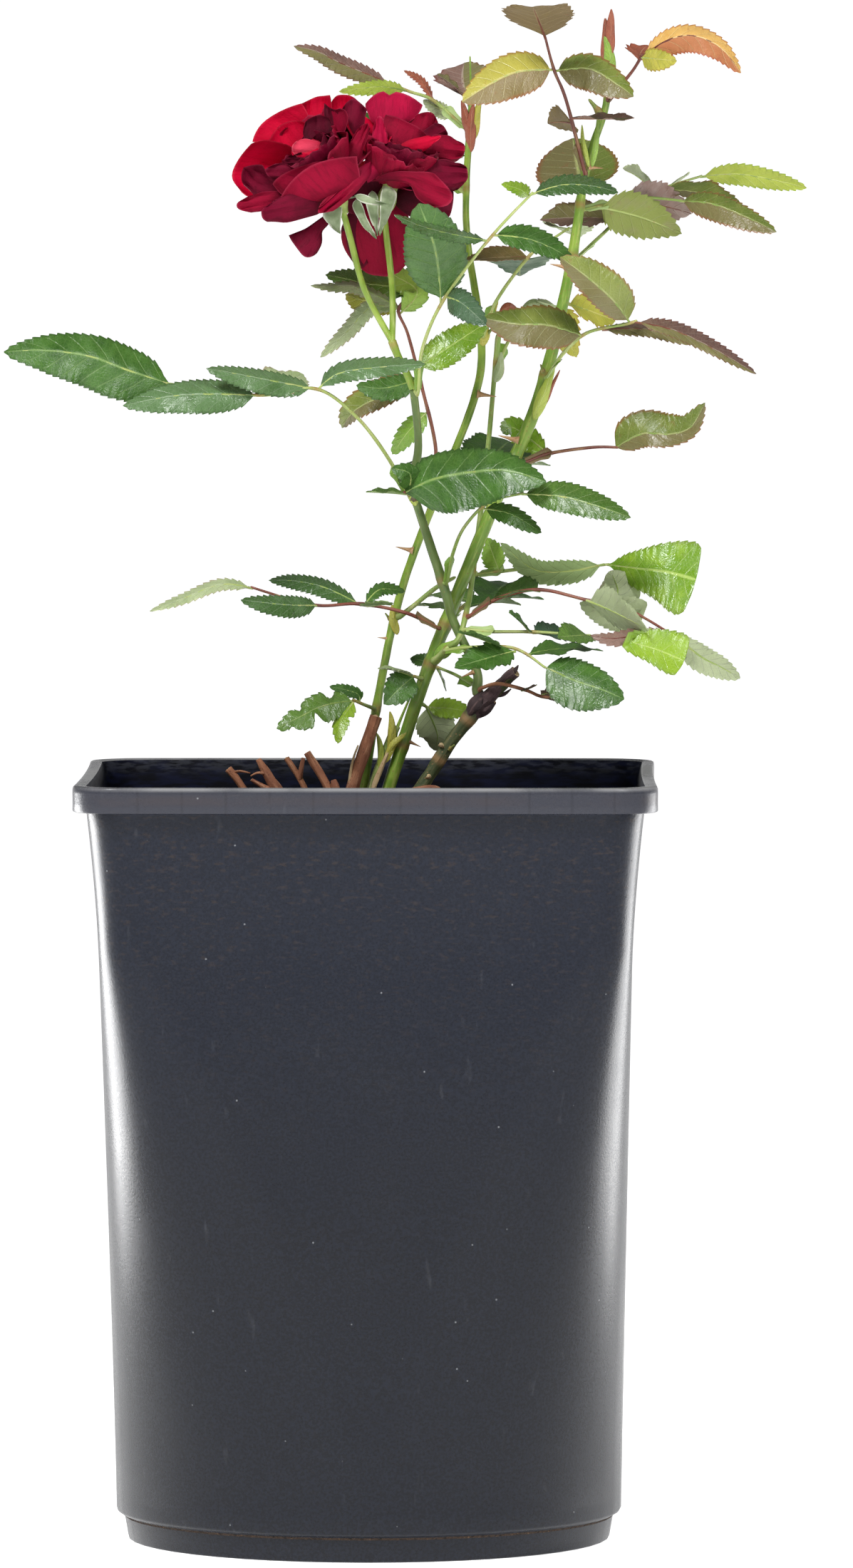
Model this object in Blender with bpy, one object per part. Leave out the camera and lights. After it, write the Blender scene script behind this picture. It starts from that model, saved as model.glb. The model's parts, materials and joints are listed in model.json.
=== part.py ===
"""A climbing rose with cut-back canes and two double blooms, in a deep square-topped nursery pot.

Metres, +Z up, front towards -Y. The origin is the middle of the pot's flat underside. Sizes and places
below are in millimetres, and MM turns them into metres where the meshes are made.
"""

from math import cos, pi, radians, sin
from random import Random
from typing import NamedTuple

import bmesh
import bpy
from mathutils import Vector

MM = 0.001
GAP = 0.3  # clearance between two solids that meet

# The pot: a round foot that lofts up to a rounded square mouth
POT_HEIGHT = 252.7
FOOT_RADIUS, FOOT_HEIGHT, FOOT_DRAFT = 79.6, 8.0, 1.2
WALL_FOOT, WALL_FOOT_RADIUS = 10.0, 83.4  # where the wall starts over the foot, and its size there
WALL_TOP = 244.0  # underside of the rim band
WALL_HALF_WIDTH = 87.4  # the wall's straight taper, carried to its top
FLARE, FLARE_HEIGHT = 3.0, 50.0  # how far the wall opens out over its last stretch
RIM_HALF_WIDTH, RIM_CORNER = 95.0, 16.0
RIM_BOW = 0.8  # how far the front and back of the rim bow out, and its sides in
LIP_WIDTH = 4.4  # flat top of the rim
WALL_HEIGHTS = (WALL_FOOT, 60, 110, 160, 200, 222, 238)
WALL = 1.8
FLAT = 1.5  # half of the short straight that even the round sections keep on each side
FLOOR = 3.0
DRAIN_HOLES, DRAIN_RADIUS, DRAIN_CIRCLE = 8, 6.0, 60.0
SOIL_TOP = 231.0

STALK_SIDES = 5
CANE_SIDES = 8
RING_STEP = 10.0  # spacing of the rings along a cane or a stalk
BLADE_THICK = 0.55  # at the midrib of a small leaflet; a long one has a ninetieth of its length


class Cane(NamedTuple):
    """A tapering stem: its centre line as (x, y, z, radius), and the cane that it grows on, if any."""

    name: str
    colour: str
    line: list
    parent: str = ""


class Blade(NamedTuple):
    """A leaflet: where it leaves its stalk (0 to 1), its reach to the tip, how far its upper side turns
    from up towards the front in degrees, its width over its length, and how far it bows up."""

    at: float
    reach: tuple
    face: float
    width: float
    bow: float = 0.05


class Leaf(NamedTuple):
    """A compound leaf: the cane it grows on, its stalk's line and its leaflets."""

    name: str
    cane: str
    colour: str
    stalk: list
    blades: list


COLOURS = {  # linear base colour and roughness
    "charcoal": ((0.032, 0.036, 0.045), 0.55),
    "compost": ((0.020, 0.013, 0.009), 0.95),
    "green": ((0.175, 0.290, 0.055), 0.50),
    "pale": ((0.330, 0.390, 0.150), 0.50),
    "bark": ((0.085, 0.090, 0.045), 0.75),
    "dead": ((0.120, 0.065, 0.040), 0.85),
    "leaf": ((0.045, 0.110, 0.040), 0.40),
    "young": ((0.170, 0.130, 0.050), 0.40),
    "lime": ((0.190, 0.330, 0.060), 0.45),
    "petal": ((0.480, 0.003, 0.012), 0.60),
}

GROUND = SOIL_TOP + GAP
CANES = [
    Cane("main_cane", "green", [
        (1, 2, GROUND, 2.4), (7, 2, 249, 2.15), (20, 0, 288, 2.15), (40, 0, 338, 2.15),
        (56, 2, 376, 2.1), (66, 6, 417, 1.8), (71.5, 8, 451, 1.35), (78, 7, 472, 1.15),
        (78.5, 6, 486, 0.95), (79, 5, 494, 1.3), (80, 4, 503, 0.5)]),
    Cane("tall_cane", "green", [
        (-4, 6, GROUND, 1.7), (2, 6, 271, 1.45), (10, 8, 310, 1.35), (21.5, 10, 342, 1.3),
        (34.5, 14, 375, 1.3), (37, 15.5, 395, 1.3), (32.5, 21, 427, 1.15), (32, 24, 446, 1.1),
        (33.5, 27, 472, 1.3), (33.5, 28, 490, 0.5)]),
    Cane("old_cane", "bark", [
        (7, -5, GROUND, 2.6), (18, -6, 249, 2.1), (27, -8, 263, 2.1), (33, -9, 271, 2.3),
        (36.5, -9, 275.5, 3.0), (41, -12, 279, 2.0), (48, -17, 286.5, 1.6)]),
    Cane("bloom_cane", "bark", [
        (36, -8.8, 280, 1.8), (35.5, -8, 287, 1.5), (28, -7.5, 303, 1.45), (25, -10, 314, 1.6),
        (15.5, -9, 343, 1.4), (14.5, -9, 348, 1.7), (16.5, -11, 361, 1.3), (15, -14, 379, 1.3)],
        "old_cane"),
    Cane("side_cane", "pale", [
        (22, -3, 290, 1.4), (26, -11, 294, 1.1), (30, -14, 298, 0.95), (32.5, -6, 307, 0.9),
        (34, 2, 316, 0.9), (38.5, 14, 352, 0.85), (41.5, 17, 385, 0.8), (42.5, 18, 395, 1.0)],
        "main_cane"),
    Cane("thin_shoot", "pale", [
        (10, 5, 304, 1.0), (14, 3, 307, 0.8), (22, 2, 313.5, 0.75), (27.5, 5, 316.5, 0.6)],
        "tall_cane"),
    Cane("tall_stub", "dead", [(-10, -4, GROUND, 2.3), (-5, -4, 249, 2.1), (2.5, -4, 271.5, 2.0)]),
    Cane("shaggy_stub", "pale", [(-4, -1, GROUND, 1.3), (1.5, 0, 250, 1.2), (9, 1, 268, 1.5)]),
    Cane("stub_left", "dead", [(-32, -12, GROUND, 1.4), (-41, -12, 248, 1.3), (-46, -12, 254.5, 1.2)]),
    Cane("stub_thick", "dead", [(-20, -18, GROUND, 2.2), (-30, -18, 248, 2.0), (-36, -18, 258, 0.9)]),
    Cane("stub_thin", "dead", [(-15, -8, GROUND, 1.2), (-21, -8, 248, 1.0), (-27, -8, 258, 0.9)]),
    Cane("stub_near", "dead", [(-6, -14, GROUND, 1.6), (-13, -14, 248, 1.4), (-20, -14, 260, 1.2)]),
]

THORNS = [  # cane, height, direction, length
    ("main_cane", 453, (1, 0, 0.1), 4.5), ("main_cane", 419, (-1, 0, 0.2), 5.5),
    ("main_cane", 361, (-1, 0, 0.1), 6.5), ("main_cane", 263, (0.9, 0, -0.5), 4.5),
    ("tall_cane", 377, (1, 0, 0), 6.0), ("tall_cane", 325, (-1, 0, 0.1), 5.5),
    ("tall_cane", 296, (-1, 0, 0), 3.0), ("bloom_cane", 287, (-1, 0, -0.4), 4.5),
]

LEAVES = [
    Leaf("top_leaf", "main_cane", "young", [(71, 5, 451), (65, -6, 474), (61, -12, 484), (58, -16, 495)], [
        Blade(1.0, (-4, -27, 10), 0, 0.78, 0.1), Blade(0.77, (-30, -12, -10), 45, 0.58, 0.1),
        Blade(0.76, (25, -8, -8), 42, 0.52, 0.12), Blade(0.37, (-8, 15, 0), -50, 0.6),
        Blade(0.41, (21, -2, 0), 6, 0.45, 0)]),
    Leaf("gold_leaf", "main_cane", "young", [(79.5, 3, 474), (83, -2, 479), (87, -6, 484), (90, -10, 489)], [
        Blade(1.0, (31, -20, -6), 45, 0.62, 0.28), Blade(0.95, (12, -17, -2), 55, 0.6),
        Blade(0.9, (3, 18, 5), 20, 0.5, 0)]),
    Leaf("reach_leaf", "main_cane", "lime", [
        (68, 9, 422), (75, 18, 428), (85, 27, 437), (95, 33, 444), (110, 38, 449)], [
        Blade(0.43, (-26, -4, 0), 28, 0.6), Blade(0.45, (13, 18, 1), 38, 0.62, 0.08),
        Blade(0.72, (-11, 10, 8), -35, 0.6), Blade(0.74, (27, -9, -5), 22, 0.5, 0.1),
        Blade(0.77, (7, 18, 4), -30, 0.55, 0), Blade(1.0, (36, 6, -4), 24, 0.5)]),
    Leaf("droop_leaf", "main_cane", "young", [(71, 11, 438), (80, 17, 440), (90, 17, 442), (103, 13, 441)], [
        Blade(0.2, (28, 6, -9), -70, 0.5), Blade(0.42, (24, 10, -4), -60, 0.55),
        Blade(1.0, (31, -21, -10), 42, 0.55, 0.1)]),
    Leaf("moon_leaf", "main_cane", "young", [(71.5, 11, 448.5), (70, 20, 444)], [
        Blade(1.0, (-5, 26, 17), 0, 0.86)]),
    Leaf("spur_leaf", "bloom_cane", "leaf", [
        (16, -17, 382), (18, -20, 393), (25, -28, 409), (40, -39, 429), (54, -44, 444)], [
        Blade(0.40, (-8, -10, 31), 85, 0.78), Blade(0.44, (7, -20, -7), 0, 0.75),
        Blade(0.74, (-30, -8, 8), 12, 0.5, 0.02), Blade(0.77, (21, 7, -8), 38, 0.58, 0.08),
        Blade(0.98, (-10, -12, 3), 12, 0.6, 0), Blade(1.0, (28, 14, -1), 16, 0.62, 0.12)]),
    Leaf("elbow_leaf", "main_cane", "lime", [
        (59, -2, 383), (64, -10, 391), (72, -17, 398), (85, -21, 401), (88, -22, 402)], [
        Blade(0.57, (-33, -13, 6), 48, 0.58, 0.08), Blade(0.73, (29, 9, -8), -12, 0.5),
        Blade(0.95, (-24, -16, 23), 62, 0.56), Blade(1.0, (38, -18, -16), 14, 0.5)]),
    Leaf("yellow_leaf", "side_cane", "lime", [(42, 20, 385), (47, 25, 396), (56, 28, 403), (66, 30, 407)], [
        Blade(1.0, (16, 8, -6), 50, 0.62), Blade(0.93, (5, -5, -17), 70, 0.6),
        Blade(0.89, (-5, -17, 2), 25, 0.5, 0)]),
    Leaf("wing_leaf", "main_cane", "leaf", [(51, -1, 355), (60, 1, 358), (74, 0, 360), (82, -2, 360)], [
        Blade(1.0, (28, -14, 15), 40, 0.66, -0.14), Blade(0.3, (-17, 21, 8), 60, 0.75),
        Blade(0.25, (-15, 21, -4), 35, 0.5)]),
    Leaf("broad_leaf", "bloom_cane", "leaf", [(16, -13, 343.5), (15, -20, 345), (12, -26, 346)], [
        Blade(1.0, (47, -20, 5), 48, 0.58, 0.2), Blade(0.8, (-10, -9, 9), 30, 0.6),
        Blade(0.66, (-15, -5, 1), 8, 0.42)]),
    Leaf("front_leaf", "bloom_cane", "leaf", [
        (26, -14, 316), (28, -20, 326), (32, -27, 335), (40, -34, 343), (51, -38, 346)], [
        Blade(0.70, (19, -1, -7), 18, 0.5), Blade(1.0, (35, -12, -6), 34, 0.5)]),
    Leaf("left_leaf", "bloom_cane", "leaf", [
        (13, -11, 346), (6, -18, 358), (-4, -25, 371), (-17, -32, 380), (-35, -40, 378),
        (-65, -45, 382)], [
        Blade(0.51, (-33, -17, 8), 18, 0.5), Blade(0.50, (32, 3, 8), 13, 0.5, 0.03),
        Blade(0.70, (-42, -16, -1), 26, 0.52, 0.02), Blade(0.72, (16, 24, 6), 24, 0.55),
        Blade(1.0, (-53, -15, 12), 36, 0.54, 0)]),
    Leaf("shade_leaf", "tall_cane", "leaf", [
        (21, 7, 345), (22, 3, 360), (18, 0, 378), (13, 0, 397), (10, -1, 406), (19, 6, 412)], [
        Blade(0.57, (22, 6, 11), 58, 0.6), Blade(0.52, (-27, 14, -18), 58, 0.55),
        Blade(0.52, (-19, -4, -4), 35, 0.6), Blade(0.38, (-13, 5, -16), -50, 0.5),
        Blade(1.0, (-35, 10, 4), 50, 0.5), Blade(0.84, (-30, -3, 7), -22, 0.42, 0.12),
        Blade(0.84, (-26, 5, -17), -42, 0.42), Blade(0.84, (-19, 23, 2), 50, 0.55, 0),
        Blade(0.81, (8, 17, 3), -60, 0.6, 0)]),
    Leaf("sill_leaf", "main_cane", "leaf", [
        (22, -4, 301), (12, -11, 306), (-3, -16, 309), (-18, -24, 309), (-38, -30, 315)], [
        Blade(0.44, (-31, 20, 6), 24, 0.5, 0.1), Blade(0.42, (13, 15, 4), 15, 0.55),
        Blade(0.41, (7, -16, 2), 0, 0.5, 0), Blade(0.66, (-24, -23, 5), 30, 0.52, 0.1),
        Blade(1.0, (-32, -8, -6), 10, 0.46, 0.12)]),
    Leaf("low_leaf", "side_cane", "lime", [
        (32, -9, 304), (43, -17, 311), (56, -23, 314), (71, -28, 311), (85, -33, 308),
        (101, -38, 299)], [
        Blade(0.37, (-16, 15, -4), 24, 0.55, 0.08), Blade(0.65, (17, 21, -14), -45, 0.5),
        Blade(0.58, (20, -18, -9), -58, 0.55), Blade(0.65, (0, 10, 11), 70, 0.62, 0),
        Blade(0.98, (-28, -6, 0), 48, 0.55, 0), Blade(1.0, (21, 12, -12), -48, 0.5)]),
    Leaf("twist_leaf", "side_cane", "lime", [(36, 5, 318), (51, -2, 320), (64, -8, 320), (79, -15, 322)], [
        Blade(0.97, (-39, 11, 10), 30, 0.5, -0.14), Blade(0.19, (-4, 6, 11), 60, 0.6, 0),
        Blade(1.0, (26, -15, 1), 80, 0.8)]),
    Leaf("thin_leaf", "side_cane", "leaf", [(33, -16, 301), (40, -18, 300), (54, -20, 300), (73, -24, 299)], [
        Blade(0.54, (-7, -10, 7), 40, 0.55), Blade(0.56, (12, 12, -2), 30, 0.55),
        Blade(1.0, (-10, -16, 0), 30, 0.55)]),
    Leaf("oval_leaf", "side_cane", "leaf", [(26, -14, 294), (33, -23, 295), (48, -29, 295), (58, -33, 289)], [
        Blade(0.61, (-15, -11, 6), 14, 0.5), Blade(0.72, (-20, -12, -5), 34, 0.5),
        Blade(0.82, (25, 8, 1), 14, 0.5), Blade(1.0, (26, -9, -7), 76, 0.62)]),
    Leaf("withered_leaf", "bloom_cane", "dead", [
        (37, -12, 281), (43, -20, 283), (52, -24, 281), (57, -25, 279), (65, -26, 278)], [
        Blade(0.56, (5, -7, 2), 20, 0.4, 0), Blade(0.75, (9, 8, 2), 15, 0.4, 0),
        Blade(0.84, (4, -7, -1), 15, 0.4, 0)]),
    Leaf("eaten_leaf", "tall_cane", "lime", [(1, 3, 274), (-2, -3, 275.5), (-5, -6, 277)], [
        Blade(0.78, (-11, 8, 2), 30, 0.55), Blade(0.95, (-25, -10, -7), 46, 0.6, 0.08),
        Blade(1.0, (-7, -8, -13), 60, 0.5, 0)]),
    Leaf("inner_leaf", "main_cane", "leaf", [(17, -3, 284), (15, -8, 285)], [
        Blade(1.0, (-10, -7, -9), 62, 0.65), Blade(0.9, (-12, -9, 3), 10, 0.4)]),
    Leaf("tuck_leaf", "bloom_cane", "leaf", [(33, -3, 282), (28, 6, 285), (20, 11, 288)], [
        Blade(1.0, (-7, 5, 2), 40, 0.6), Blade(0.87, (3, 4, -8), 50, 0.5)]),
    Leaf("hang_leaf", "main_cane", "lime", [(18, 4, 275), (19, 8, 274)], [
        Blade(0.9, (22, 7, -5), 50, 0.55), Blade(1.0, (3, 5, -16), -72, 0.9)]),
    Leaf("crest_leaf", "tall_cane", "young", [(32, 28, 465), (21, 33, 474), (13, 34, 477), (6, 33, 480)], [
        Blade(1.0, (-31, -11, 11), -35, 0.5, 0.08), Blade(0.79, (-22, -16, 0), 30, 0.55),
        Blade(0.49, (-11, 17, 10), 6, 0.4), Blade(0.22, (-11, 21, 4), -50, 0.6)]),
    Leaf("bronze_leaf", "tall_cane", "young", [(34, 30, 467), (33, 34, 472), (32, 37, 475)], [
        Blade(1.0, (-1, 21, 12), 0, 0.75), Blade(0.95, (-10, -7, 8), 30, 0.5)]),
    Leaf("arm_leaf", "tall_cane", "leaf", [
        (38, 12, 397), (42, 10, 408), (53, 8, 423), (60, 11, 428), (66, 14, 432)], [
        Blade(0.65, (-22, -3, -1), 22, 0.55), Blade(0.64, (-3, 24, -6), 0, 0.8),
        Blade(1.0, (3, 26, -3), 0, 0.6)]),
]

REAR_LEAVES = [  # name, cane, where the stalk starts and ends, size of the end leaflet, pairs
    ("rear_high_leaf", "tall_cane", (31, 26, 444), (2, 58, 456), 34, 2),
    ("rear_mid_leaf", "tall_cane", (22, 12, 342), (36, 58, 350), 36, 2),
    ("rear_low_leaf", "main_cane", (26, 3, 301), (38, 46, 306), 30, 2),
]


class Bloom(NamedTuple):
    """A bloom: its stalk's line, the way its face looks, its petals' length, and its rings of petals,
    each (how many, lean from the axis in degrees, share of the length). Then its loose petals, each
    (the way it hangs, length)."""

    stalk: list
    heading: tuple
    radius: float
    rings: list
    hanging: list


SPRAY = "bloom_spray"  # both blooms, on the fork that ends the bloom cane
SPRAY_FOOT = [(14.7, -14.5, 379.6), (13, -15, 384), (10, -16, 390), (8, -16.5, 395)]
BLOOMS = [
    Bloom([(8, -16.5, 395), (-1, -17, 412), (-7, -17, 430), (-10, -18, 440)], (-0.50, -0.30, 0.80), 26.0,
          [(6, 88, 0.9), (6, 60, 1.0)], [((-0.45, -0.3, -0.85), 21), ((0.55, 0.5, -0.8), 20)]),
    Bloom([(8, -16.5, 395), (8, -14, 412), (6.5, -12, 430), (6, -12, 441)], (0.28, -0.20, 0.92), 26.0,
          [(6, 90, 0.9), (6, 58, 1.0)], [((0.1, 0.55, -0.85), 24), ((0.6, 0.3, -0.7), 22)]),
]
HIP_LENGTH, HIP_RADIUS = 9.0, 3.4
SEPALS, SEPAL_LENGTH = 5, 17.0
PETAL_THICK = 0.9
PETAL_SEED = 7


def clear_scene():
    """Removes the objects that the scene already holds."""
    for obj in list(bpy.data.objects):
        bpy.data.objects.remove(obj, do_unlink=True)


def material_of(colour):
    """The Principled material of one of COLOURS."""
    found = bpy.data.materials.get(colour)
    if found:
        return found
    base, roughness = COLOURS[colour]
    made = bpy.data.materials.new(colour)
    made.use_nodes = True
    shader = made.node_tree.nodes["Principled BSDF"]
    shader.inputs["Base Color"].default_value = (*base, 1)
    shader.inputs["Roughness"].default_value = roughness
    made.diffuse_color = (*base, 1)
    return made


def mesh_object(name, points, faces, colour):
    """An object of these points (mm) and faces, closed and facing out."""
    mesh = bpy.data.meshes.new(name)
    mesh.from_pydata([tuple(MM * v for v in p) for p in points], [], faces)
    shape = bmesh.new()
    shape.from_mesh(mesh)
    bmesh.ops.recalc_face_normals(shape, faces=shape.faces)
    shape.to_mesh(mesh)
    shape.free()
    mesh.materials.append(material_of(colour))
    obj = bpy.data.objects.new(name, mesh)
    bpy.context.collection.objects.link(obj)
    return obj


def apply_union(obj, others, solver="EXACT"):
    """Fuses the other objects into obj by one union on a collection, and removes them."""
    if others:
        group = bpy.data.collections.new(obj.name + "_parts")
        for other in others:
            group.objects.link(other)
        union = obj.modifiers.new("union", "BOOLEAN")
        union.operation = "UNION"
        union.operand_type = "COLLECTION"
        union.collection = group
        union.solver = solver
        apply_modifiers(obj)
        for other in others:
            bpy.data.objects.remove(other, do_unlink=True)
        bpy.data.collections.remove(group)
        keep_main_shell(obj)
    return obj


def keep_main_shell(obj):
    """Removes what fusing left apart: hollows that it sealed and loose scraps."""
    shape = bmesh.new()
    shape.from_mesh(obj.data)
    shape.verts.ensure_lookup_table()
    left, shells = set(shape.verts), []
    while left:
        shell, edge = set(), [left.pop()]
        while edge:
            vert = edge.pop()
            shell.add(vert)
            for link in vert.link_edges:
                other = link.other_vert(vert)
                if other in left:
                    left.remove(other)
                    edge.append(other)
        shells.append(shell)
    shells.sort(key=len)
    for shell in shells[:-1]:
        bmesh.ops.delete(shape, geom=list(shell), context="VERTS")
    shape.to_mesh(obj.data)
    shape.free()


def apply_modifiers(obj):
    """Gives obj the mesh that its modifiers make."""
    bpy.context.view_layer.update()
    graph = bpy.context.evaluated_depsgraph_get()
    made = bpy.data.meshes.new_from_object(obj.evaluated_get(graph))
    obj.modifiers.clear()
    obj.data = made


def curve_at(points, count):
    """`count` + 1 tuples along a Catmull-Rom curve through the points, evenly by parameter."""
    ends = [points[0]] + list(points) + [points[-1]]
    spans = len(points) - 1
    found = []
    for i in range(count + 1):
        place = i / count * spans
        k = min(int(place), spans - 1)
        t = place - k
        a, b, c, d = ends[k : k + 4]
        found.append(tuple(
            0.5 * (2 * q + (r - p) * t + (2 * p - 5 * q + 4 * r - s) * t * t
                   + (3 * q - p - 3 * r + s) * t ** 3)
            for p, q, r, s in zip(a, b, c, d)))
    return found


def length_of(points):
    """The length of a line through the points."""
    return sum((Vector(b[:3]) - Vector(a[:3])).length for a, b in zip(points, points[1:]))


def point_at(points, share):
    """The point at this share of a line's length."""
    left = share * length_of(points)
    for a, b in zip(points, points[1:]):
        a, b = Vector(a[:3]), Vector(b[:3])
        step = (b - a).length
        if step >= left:
            return a.lerp(b, left / step if step else 0)
        left -= step
    return Vector(points[-1][:3])


def tube(name, line, sides, colour):
    """A closed tube along (x, y, z, radius) points, its rings turned as little as possible."""
    centres = [Vector(p[:3]) for p in line]
    points, faces = [], []
    side = None
    for i, centre in enumerate(centres):
        ahead = (centres[min(i + 1, len(centres) - 1)] - centres[max(i - 1, 0)]).normalized()
        if side is None:
            side = ahead.orthogonal()
        if i == 0 and abs(centre.z - GROUND) < 0.01:
            ahead = Vector((0, 0, 1))  # cut flat at the ground
        side = (side - ahead * side.dot(ahead)).normalized()
        across = ahead.cross(side)
        for j in range(sides):
            angle = 2 * pi * j / sides
            points.append(centre + line[i][3] * (cos(angle) * side + sin(angle) * across))
    for i in range(len(centres) - 1):
        for j in range(sides):
            k = (j + 1) % sides
            faces.append((i * sides + j, i * sides + k, (i + 1) * sides + k, (i + 1) * sides + j))
    faces.append(tuple(range(sides)))
    faces.append(tuple(range(len(points) - sides, len(points))))
    return mesh_object(name, points, faces, colour)


def smooth_line(points):
    """The points with a ring every RING_STEP or so along a smooth curve."""
    return curve_at(points, max(2, round(length_of(points) / RING_STEP)))


BLADE_PROFILE = [(0.0, 0.0), (0.06, 0.0), (0.16, 0.60), (0.38, 1.0), (0.64, 0.86), (0.87, 0.40)]
NECK_HALF_WIDTH = 0.5
BLADE_FOLD = 0.16  # how far the edges stand above the midrib, over the half width


def blade(name, foot, spec, colour):
    """A leaflet or sepal as a closed lens, folded along its midrib, from foot (mm) to its reach."""
    reach = Vector(spec.reach)
    length = reach.length
    ahead = reach.normalized()
    up = Vector((0, 0, 1))
    if abs(ahead.z) > 0.97:
        up = Vector((0, 1, 0.25))
    up = (up - ahead * up.dot(ahead)).normalized()
    across = ahead.cross(up)
    if across.y > 0:
        across = -across
    turn = radians(spec.face)
    normal = cos(turn) * up + sin(turn) * across
    across = ahead.cross(normal)
    thick = max(BLADE_THICK, length / 90)
    points, faces = [], []
    for t, wide in BLADE_PROFILE:
        half = max(NECK_HALF_WIDTH, wide * spec.width * length / 2)
        lift = 4 * spec.bow * length * t * (1 - t)
        middle = Vector(foot) + ahead * (t * length) + normal * lift
        edge = normal * (BLADE_FOLD * half)
        points += [middle - across * half + edge, middle + normal * thick / 2,
                   middle + across * half + edge, middle - normal * thick / 2]
    rings = len(points) // 4
    points.append(Vector(foot) + reach)
    faces.append((0, 1, 2, 3))
    for i in range(rings - 1):
        for j in range(4):
            k = (j + 1) % 4
            faces.append((4 * i + j, 4 * i + k, 4 * i + 4 + k, 4 * i + 4 + j))
    last = 4 * (rings - 1)
    for j in range(4):
        faces.append((last + j, last + (j + 1) % 4, len(points) - 1))
    return mesh_object(name, points, faces, colour)


def nearest_on(line, place):
    """The point, direction and radius of a cane's line nearest this place."""
    best = None
    for a, b in zip(line, line[1:]):
        start, step = Vector(a[:3]), Vector(b[:3]) - Vector(a[:3])
        share = min(1, max(0, (Vector(place) - start).dot(step) / step.length_squared))
        point = start + share * step
        away = (Vector(place) - point).length
        if best is None or away < best[0]:
            best = (away, point, step.normalized(), a[3] + share * (b[3] - a[3]))
    return best[1:]


def stalk_line(cane_line, points, foot, tip):
    """A leaf stalk's smooth line, its foot square to its cane and GAP clear of it."""
    centre, along, radius = nearest_on(cane_line, points[0])
    out = Vector(points[0]) - centre
    if out.length < 0.5:
        out = Vector(points[1]) - centre
    out = (out - along * out.dot(along)).normalized()
    start, collar = centre + out * (radius + GAP), centre + out * (radius + GAP + 1.6)
    rest = [Vector(p) for p in points[1:]]
    radii = [tip + (foot - tip) * (1 - (i + 1) / len(rest)) for i in range(len(rest))]
    line = [(*collar, foot)] + [(*p, r) for p, r in zip(rest, radii)]
    return [(*start, foot * 1.25)] + smooth_line(line)


def make_leaf(spec, cane_line):
    """One compound leaf: its stalk with every leaflet fused on."""
    line = stalk_line(cane_line, spec.stalk, 0.95, 0.65)
    stalk = tube(spec.name, line, STALK_SIDES, spec.colour)
    blades = []
    for number, leaflet in enumerate(spec.blades):
        share = min(leaflet.at, 1 - 0.6 / length_of(line))
        foot = point_at(line, share)
        blades.append(blade(f"{spec.name}_{number}", foot, leaflet, spec.colour))
    return apply_union(stalk, blades)


def rear_leaf(name, cane, start, end, size, pairs):
    """A compound leaf by rule: leaflets in pairs along an arching stalk, and one at its end."""
    start, end = Vector(start), Vector(end)
    middle = start.lerp(end, 0.5) + Vector((0, 0, 4))
    ahead = (end - start).normalized()
    across = ahead.cross(Vector((0, 0, 1))).normalized()
    blades = [Blade(1.0, tuple(size * (ahead + Vector((0, 0, 0.1)))), 8, 0.58, 0.08)]
    for pair in range(pairs):
        at = 0.72 - 0.34 * pair
        for side in (-1, 1):
            reach = (0.82 - 0.12 * pair) * size * (0.45 * ahead + side * 0.85 * across)
            blades.append(Blade(at + 0.02 * side, tuple(reach), 8, 0.58, 0.08))
    return Leaf(name, cane, "leaf", [tuple(start), tuple(middle), tuple(end)], blades)


def ball(name, centre, axis, radii, colour, rings=6, sides=10):
    """A closed spheroid, radii = (along the axis, across it)."""
    axis = Vector(axis).normalized()
    side = axis.orthogonal().normalized()
    across = axis.cross(side)
    points, faces = [Vector(centre) - axis * radii[0]], []
    for i in range(1, rings):
        turn = pi * i / rings
        for j in range(sides):
            angle = 2 * pi * j / sides
            points.append(Vector(centre) - axis * (radii[0] * cos(turn)) + radii[1] * sin(turn)
                          * (cos(angle) * side + sin(angle) * across))
    points.append(Vector(centre) + axis * radii[0])
    for j in range(sides):
        k = (j + 1) % sides
        faces.append((0, 1 + k, 1 + j))
        for i in range(rings - 2):
            a, b = 1 + i * sides, 1 + (i + 1) * sides
            faces.append((a + j, a + k, b + k, b + j))
        last = 1 + (rings - 2) * sides
        faces.append((last + j, last + k, len(points) - 1))
    return mesh_object(name, points, faces, colour)


PETAL_PROFILE = [(0.0, 0.30), (0.28, 0.70), (0.62, 1.0), (0.90, 0.80)]


def petal(name, foot, out, axis, length, width, bow):
    """A broad cupped petal from foot, its hollow side towards the bloom's axis."""
    ahead = Vector(out).normalized()
    inward = Vector(axis) - ahead * Vector(axis).dot(ahead)
    inward = inward.normalized()
    across = ahead.cross(inward)
    points, faces = [], []
    for t, wide in PETAL_PROFILE:
        half = wide * width / 2
        centre = Vector(foot) + ahead * (t * length) - inward * (4 * bow * length * t * (1 - t))
        edge = inward * (0.30 * half)
        points += [centre - across * half + edge, centre + inward * PETAL_THICK / 2,
                   centre + across * half + edge, centre - inward * PETAL_THICK / 2]
    rings = len(PETAL_PROFILE)
    points.append(Vector(foot) + ahead * length)
    faces.append((0, 1, 2, 3))
    for i in range(rings - 1):
        for j in range(4):
            k = (j + 1) % 4
            faces.append((4 * i + j, 4 * i + k, 4 * i + 4 + k, 4 * i + 4 + j))
    last = 4 * (rings - 1)
    for j in range(4):
        faces.append((last + j, last + (j + 1) % 4, len(points) - 1))
    return mesh_object(name, points, faces, "petal")


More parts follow.
